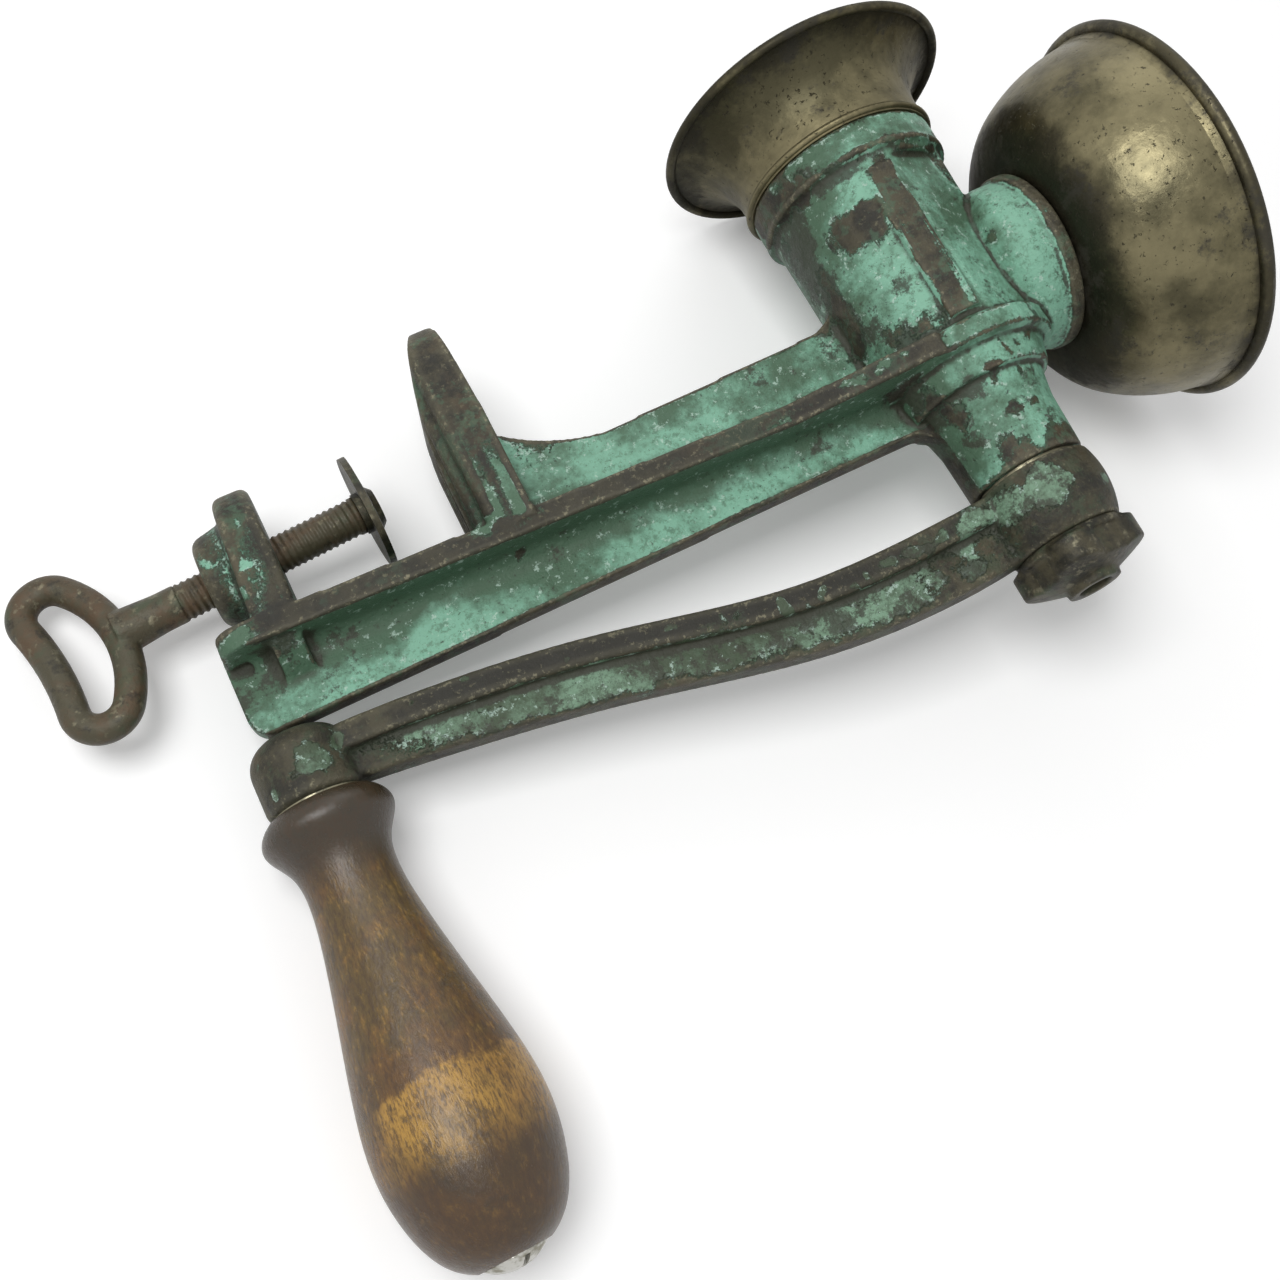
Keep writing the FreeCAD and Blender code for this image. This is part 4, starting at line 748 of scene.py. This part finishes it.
def casting_painted_shade_and_stain(places):
    """Painted shading in the corners beside the flange, darker enamel under the barrel, stains
    along the front web's rim and a lighter neck.
    """
    y, z = places.T[1:] / MM
    # Painted shade in the corners beside the flange
    corner = ramp(np.interp(z, *CORNER_REACH) - beside_flange(y, z), 0, 6.5)
    corner *= ramp(92 - z, 0, 4)
    barrel = ramp(z, 86, 90) * ramp(BEAM_TOP - z, 0, 8)
    neck = ramp(z, 126, 131)
    front = ramp(6.0 - y, 0, 2) * ramp(z, 16, 22) * ramp(84 - z, 0, 4)
    return 0.9 * corner + 0.5 * barrel + 0.3 * front - 0.5 * neck


class MILL_OT_casting(bpy.types.Operator):
    """Make the cast body with its chipped enamel"""
    bl_idname = "mill.casting"
    bl_label = "Cast body"

    def execute(self, context):
        sizes = context.scene.mill_sizes
        colours = context.scene.mill_colours
        piece = node_copy("body_casting", "cast_body")
        remesh(piece, sizes.casting_grain)
        soften(piece, 2)
        places = vertex_values(piece.data, "co")
        wear_down(piece, casting_wear(places), casting_painted_shade_and_stain(places),
                  near(ragged(places), BODY_GRIME), CASTING_EDGE_WEAR)
        thin(piece, sizes.casting_share)
        finish = enamel_finish("chipped_enamel", colours, colours.mint, colours.mint_deep)
        dress(piece, "frame", "body_enamel", finish, "body_casting")
        return {"FINISHED"}


# Brass

DULL = 0.12                     # added roughness of the funnel and the bush


class MILL_OT_brass(bpy.types.Operator):
    """Give the hopper, the funnel and the bush their tarnished brass"""
    bl_idname = "mill.brass"
    bl_label = "Brass bowl and funnel"

    def execute(self, context):
        colours = context.scene.mill_colours
        for node, letter, dullness in (("hopper_bowl", 2, 0.0), ("outlet_funnel", 1, DULL)):
            low, high = (corner[letter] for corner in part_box(node))
            finish = brass_finish(f"tarnished_{node}", colours, "XYZ"[letter],
                                  0.5 * (low + high), 0.5 * (high - low), dullness)
            finish_nodes(finish, node)
        # Half a length of a metre keeps the bush clear of dark ends
        finish_nodes(brass_finish("dull_bush", colours, "Y", 0.0, 1.0, DULL), "hub_bush")
        return {"FINISHED"}


# Crank

# Enamel left on the arm, from the grip to the hub: (x, y, z, radius, amount)
ARM_SPOTS = (
    (4, 46, 4, 1.9, -0.5), (4, 45, 0, 2.5, -0.4), (4, 44, -5, 2.9, -0.4),
    (4, 44, -9, 1.7, -0.35), (4, 46, 11, 3.2, -0.35), (4, 48, 18, 3.2, -0.35),
    (4, 48, 26, 3.2, -0.35), (4, 50, 33, 3.5, -0.35), (4, 51, 39, 3.2, -0.35),
    (4, 44, -14, 1.9, -0.25), (4, 42, -20, 2.3, -0.2), (6, 36, -14, 0.8, -0.6),
    (6, 40, 6, 0.7, -0.7), (6, 44, 27, 0.7, -0.6), (6, 35, -25, 1.0, -0.4),
    (10, 38, -47, 1.6, -0.6), (7, 35, -41, 1.2, -0.6), (10, 35, -50, 0.5, -0.6),
    (7, 38, -41, 0.5, -0.6), (8, 41, -54, 0.8, -0.5), (7, 35, -55, 0.7, -0.4),
    (4, 46, -11, 1.0, -0.5), (14, 53, 108, 3.0, -0.5), (13, 52, 104, 2.3, -0.4),
    (9, 50, 100, 3.0, -0.4), (6, 49, 94, 3.1, -0.4), (5, 52, 90, 2.5, -0.3),
    (14, 52, 111, 1.5, -0.4), (14, 47, 112, 0.5, -0.6), (13, 47, 108, 1.0, -0.5),
    (13, 57, 109, 0.5, -0.5), (11, 53, 101, 0.7, -0.5), (4, 58, 88, 2.5, -0.3),
    (4, 60, 86, 0.9, -0.6), (4, 53, 46, 1.8, -0.2), (4, 56, 50, 1.6, -0.2),
    (4, 56, 56, 2.1, -0.25), (4, 57, 61, 1.8, -0.2), (4, 57, 67, 2.1, -0.25),
    (4, 58, 73, 2.1, -0.25), (4, 57, 80, 2.1, -0.25), (6, 49, 49, 1.0, -0.7),
    (6, 50, 53, 1.2, -0.7), (6, 50, 58, 0.9, -0.6), (6, 52, 64, 0.9, -0.6),
    (6, 51, 68, 0.8, -0.6), (6, 51, 73, 1.6, -0.5), (6, 51, 78, 1.6, -0.5),
    (6, 51, 82, 1.6, -0.4), (14, 50, 109, 1.0, -0.5), (14, 54, 110, 1.2, -0.5),
    (13, 50, 106, 1.6, -0.4), (10, 54, 120, 1.2, -0.3), (6, 49, 85, 1.4, -0.5),
    (6, 51, 74, 0.7, -0.6), (6, 52, 63, 0.7, -0.6), (6, 49, 50, 0.8, -0.6),
    (6, 49, 47, 0.6, -0.6), (14, 51, 107, 3.2, -0.35), (9, 37, -46, 2.6, -0.5),
    (8, 40, -50, 1.2, -0.5), (12, 49, 115, 1.2, -0.4),
)


# Half widths of the arm in millimetres: its sunk stem starts and ends
STEM_START = (2.6, 3.4)
STEM_END = 5.2
ARM_EDGE_WEAR = 0.15
ARM_GRIME = 0.5


def arm_regions(places):
    """Wear and stain of the crank arm: a dark rail beside a greener, hollow stem."""
    side = np.abs(places[:, 0]) / MM
    z = places[:, 2] / MM
    stem = (ramp(STEM_END - side, 0, 0.8) * ramp(side, *STEM_START)
            * ramp(z, -34, -26) * ramp(82 - z, 0, 6))
    rail = ramp(side, STEM_END, 5.9) * ramp(z, -30, -22) * ramp(86 - z, 0, 20)
    wear = 0.62 + 0.10 * rail - 0.17 * stem + near(ragged(places), ARM_SPOTS)
    return wear, 1.2 * rail + 0.25


class MILL_OT_crank(bpy.types.Operator):
    """Make the crank arm with the last of its enamel, and the hand nut"""
    bl_idname = "mill.crank"
    bl_label = "Crank arm and nut"

    def execute(self, context):
        sizes = context.scene.mill_sizes
        colours = context.scene.mill_colours
        arm = node_copy("crank_arm", "cast_crank")
        remesh(arm, sizes.arm_grain)
        soften(arm, 3)
        places = vertex_values(arm.data, "co")
        wear, painted_shade_and_stain = arm_regions(places)
        wear_down(arm, wear, painted_shade_and_stain, np.full(len(places), ARM_GRIME), ARM_EDGE_WEAR)
        finish = enamel_finish("worn_off_enamel", colours, colours.olive, colours.olive_deep)
        dress(arm, "crank", "crank_enamel", finish, "crank_arm")
        nut = node_copy("crank_nut", "hand_nut")
        remesh(nut, sizes.small_grain)
        soften(nut, 5)
        dress(nut, "crank", "nut_iron", iron_finish("rubbed_iron", colours), "crank_nut")
        return {"FINISHED"}


# Grip

class MILL_OT_grip(bpy.types.Operator):
    """Give the turned grip its worn wood"""
    bl_idname = "mill.grip"
    bl_label = "Wooden grip"

    def execute(self, context):
        finish_nodes(wood_finish("worn_wood", context.scene.mill_colours), "wood_grip")
        return {"FINISHED"}


# Clamp

SCREW_LEAN = math.radians(3.4)
SCREW_PIVOT = (0.0, -6.5 * MM, -41.0 * MM)
THREAD_START = -16.0 * MM       # along the screw's axis from the pivot
THREAD_END = 21.9 * MM
THREAD_OVERRUN = 0.3 * MM       # how far the ridge runs past the plain ends
THREAD_FLANK = 0.08 * MM        # rise of the ridge's foot
SAME_THREAD_PLACE = 0.001 * MM
ON_THE_CUT = 0.0001 * MM


def screw_frame():
    """From the screw's own axis, with its pivot at zero, to the mill's frame."""
    return Matrix.Translation(SCREW_PIVOT) @ Matrix.Rotation(SCREW_LEAN, 4, "X")


def cut_flat(shape, height, keep_above):
    """Cuts the shape square to the screw's axis, which is Z, and closes the cut."""
    everything = shape.verts[:] + shape.edges[:] + shape.faces[:]
    bmesh.ops.bisect_plane(shape, geom=everything, dist=ON_THE_CUT, plane_co=(0, 0, height),
                           plane_no=(0, 0, 1), clear_inner=keep_above,
                           clear_outer=not keep_above)
    rim = [edge for edge in shape.edges if edge.is_boundary]
    bmesh.ops.holes_fill(shape, edges=rim, sides=0)


def thread_mesh(sizes):
    """The thread: one ridge wound round the screw's axis and cut square at both ends."""
    pitch = sizes.thread_pitch
    crest = sizes.thread_radius
    root = crest - sizes.thread_depth
    foot = root + THREAD_FLANK
    # Radius and share of the pitch for each corner of the ridge
    ridge = ((root, 0.0), (foot, 0.18), (crest, 0.42), (crest, 0.58), (foot, 0.82), (root, 1.0))
    shape = bmesh.new()
    line = [shape.verts.new((radius, 0.0, THREAD_START + (share - 2) * pitch))
            for radius, share in ridge]
    edges = [shape.edges.new(pair) for pair in zip(line, line[1:])]
    turns = math.ceil((THREAD_END - THREAD_START) / pitch) + 3
    steps = sizes.thread_steps
    bmesh.ops.spin(shape, geom=line + edges, cent=(0, 0, 0), axis=(0, 0, 1),
                   dvec=(0, 0, pitch / steps), angle=2 * math.pi * turns, steps=steps * turns)
    bmesh.ops.remove_doubles(shape, verts=shape.verts, dist=SAME_THREAD_PLACE)
    cut_flat(shape, THREAD_START - THREAD_OVERRUN, True)
    cut_flat(shape, THREAD_END + THREAD_OVERRUN, False)
    bmesh.ops.recalc_face_normals(shape, faces=shape.faces)
    mesh = bpy.data.meshes.new("thread")
    shape.to_mesh(mesh)
    shape.free()
    return mesh


def part_of_screw(name, height, keep_above):
    """The clamp screw's copy, turned upright, with what lies past the cut left off."""
    piece = node_copy("clamp_screw", name)
    shape = bmesh.new()
    shape.from_mesh(piece.data)
    bmesh.ops.transform(shape, matrix=screw_frame().inverted(), verts=shape.verts)
    cut_flat(shape, height, keep_above)
    shape.to_mesh(piece.data)
    shape.free()
    return piece


class MILL_OT_clamp(bpy.types.Operator):
    """Make the clamp screw with its thread and its rusty iron, and give its pad dark iron"""
    bl_idname = "mill.clamp"
    bl_label = "Clamp screw and pad"

    def execute(self, context):
        sizes = context.scene.mill_sizes
        screw = part_of_screw("threaded_screw", THREAD_START, False)
        remesh(screw, sizes.small_grain)
        soften(screw, 3)
        nose = part_of_screw("screw_nose", THREAD_END, True)
        thread = thread_mesh(sizes)
        shape = bmesh.new()
        for mesh in (screw.data, nose.data, thread):
            shape.from_mesh(mesh)
        bmesh.ops.transform(shape, matrix=screw_frame(), verts=shape.verts)
        shape.to_mesh(screw.data)
        shape.free()
        bpy.data.objects.remove(nose)
        finish = rusty_finish("rusty_iron", context.scene.mill_colours)
        dress(screw, "screw", "clamp_iron", finish, "clamp_screw")
        finish_nodes(iron_finish("pad_iron", context.scene.mill_colours), "clamp_pad")
        return {"FINISHED"}


# Shaft and grinding gear

class MILL_OT_gear(bpy.types.Operator):
    """Finish the shaft, the washers and the grinding gear"""
    bl_idname = "mill.gear"
    bl_label = "Shaft and grinding gear"

    def execute(self, context):
        colours = context.scene.mill_colours
        bright = steel_finish("old_steel", colours.steel, colours.iron)
        finish_nodes(bright, "hopper_screws", "worm_pin", "nose_nut")
        handled = steel_finish("handled_steel", colours.steel, colours.iron_worn)
        finish_nodes(handled, "grip_spindle")
        dull = steel_finish("dull_steel", colours.iron_worn, colours.iron_dark)
        finish_nodes(dull, "drive_shaft", "thrust_washer", "nose_washer", "hub_washer",
                     "grip_washer", "end_washer")
        finish_nodes(iron_finish("ground_iron", colours), "feed_worm", "rotor_burr", "burr_ring")
        return {"FINISHED"}


# Stage

WHITE = (1.0, 1.0, 1.0)
SHEET_PLACE = (-0.0365, 0.0, 0.1105)
SHEET_NORMAL = (0.9909, 0.0188, 0.1323)
SHEET_SIZE = 3.0
SHEET_GLOW = 0.17               # lifts the sheet towards white for the camera alone
LIGHT_AIM = (0.0, 0.03, 0.04)
KEY_SIZE = 0.42
KEY_PLACE = (0.87, -0.03, -0.14)
FILL_SIZE = 0.6
FILL_PLACE = (0.45, -0.65, 0.45)


def make_sheet(colours):
    """Pale sheet that the mill lies on, seen from its upper side only."""
    shape = bmesh.new()
    bmesh.ops.create_grid(shape, x_segments=8, y_segments=8, size=SHEET_SIZE)
    turn = Vector((0, 0, 1)).rotation_difference(Vector(SHEET_NORMAL)).to_matrix().to_4x4()
    bmesh.ops.transform(shape, matrix=Matrix.Translation(SHEET_PLACE) @ turn, verts=shape.verts)
    mesh = bpy.data.meshes.new("sheet")
    shape.to_mesh(mesh)
    shape.free()
    sheet = new_object("sheet", mesh)
    material = bpy.data.materials.new("pale_sheet")
    nodes = Nodes(material, "ShaderNodeOutputMaterial")
    paper = nodes.make("ShaderNodeBsdfDiffuse", colours.floor)
    path = nodes.make("ShaderNodeLightPath")
    seen = nodes.math("MULTIPLY", path.outputs["Is Camera Ray"], SHEET_GLOW)
    glow = nodes.make("ShaderNodeEmission", WHITE, seen)
    upper = nodes.make("ShaderNodeAddShader", paper.outputs[0], glow.outputs[0])
    clear = nodes.make("ShaderNodeBsdfTransparent")
    side = nodes.make("ShaderNodeNewGeometry")
    nodes.feed(nodes.result, nodes.pick(side.outputs["Backfacing"], upper.outputs[0],
                                        clear.outputs[0]))
    mesh.materials.append(material)


def make_world(room_light):
    """White to the camera and in reflections, and an even light on the mill."""
    world = bpy.data.worlds.new("white_room")
    bpy.context.scene.world = world
    nodes = Nodes(world, "ShaderNodeOutputWorld")
    room = nodes.make("ShaderNodeBackground", WHITE, room_light)
    white = nodes.make("ShaderNodeBackground", WHITE, 1.0)
    path = nodes.make("ShaderNodeLightPath").outputs
    seen = nodes.math("MAXIMUM", path["Is Camera Ray"], path["Is Glossy Ray"])
    seen = nodes.math("MAXIMUM", seen, path["Is Transmission Ray"])
    nodes.feed(nodes.result, nodes.pick(seen, room.outputs[0], white.outputs[0]))


def make_light(name, power, size, place):
    """A soft square light that points at the mill."""
    lamp = bpy.data.lights.new(name, "AREA")
    lamp.shape = "SQUARE"
    lamp.size = size
    lamp.energy = power
    light = new_object(name, lamp)
    light.location = place
    light.rotation_mode = "QUATERNION"
    light.rotation_quaternion = (Vector(LIGHT_AIM) - Vector(place)).to_track_quat("-Z", "Y")


class MILL_OT_stage(bpy.types.Operator):
    """Set the sheet, the lights and the camera"""
    bl_idname = "mill.stage"
    bl_label = "Studio"

    def execute(self, context):
        studio = context.scene.mill_studio
        make_sheet(context.scene.mill_colours)
        make_world(studio.room_light)
        make_light("key", studio.key_power, KEY_SIZE, KEY_PLACE)
        make_light("fill", studio.fill_power, FILL_SIZE, FILL_PLACE)
        camera = bpy.data.cameras.new("camera")
        camera.sensor_width = 36.0
        camera.lens = studio.camera_lens
        camera.shift_x, camera.shift_y = studio.camera_shift
        camera.clip_start = 0.01
        camera.clip_end = 20.0
        viewer = new_object("camera", camera)
        viewer.location = studio.camera_place
        viewer.rotation_euler = studio.camera_turn
        context.scene.camera = viewer
        context.scene.view_settings.view_transform = "Standard"
        return {"FINISHED"}


# Panel

STEPS = (
    MILL_OT_casting,
    MILL_OT_brass,
    MILL_OT_crank,
    MILL_OT_grip,
    MILL_OT_clamp,
    MILL_OT_gear,
    MILL_OT_stage,
)


class MILL_PT_panel(bpy.types.Panel):
    """Buttons for each group of pieces"""
    bl_idname = "MILL_PT_panel"
    bl_label = "Spice mill"
    bl_space_type = "VIEW_3D"
    bl_region_type = "UI"
    bl_category = "Spice mill"

    def draw(self, context):
        for step in STEPS:
            self.layout.operator(step.bl_idname)
        for group in ("mill_sizes", "mill_colours", "mill_studio"):
            box = self.layout.box()
            values = getattr(context.scene, group)
            for name in values.bl_rna.properties.keys():
                if name not in ("rna_type", "name"):
                    box.prop(values, name)


CLASSES = (MillSizes, MillColours, MillStudio, *STEPS, MILL_PT_panel)


def register():
    for kind in CLASSES:
        bpy.utils.register_class(kind)
    bpy.types.Scene.mill_sizes = PointerProperty(type=MillSizes)
    bpy.types.Scene.mill_colours = PointerProperty(type=MillColours)
    bpy.types.Scene.mill_studio = PointerProperty(type=MillStudio)


def unregister():
    del bpy.types.Scene.mill_studio
    del bpy.types.Scene.mill_colours
    del bpy.types.Scene.mill_sizes
    for kind in reversed(CLASSES):
        bpy.utils.unregister_class(kind)


def main():
    register()
    bpy.ops.mill.casting()
    bpy.ops.mill.brass()
    bpy.ops.mill.crank()
    bpy.ops.mill.grip()
    bpy.ops.mill.clamp()
    bpy.ops.mill.gear()
    bpy.ops.mill.stage()


if __name__ == "__main__":
    main()
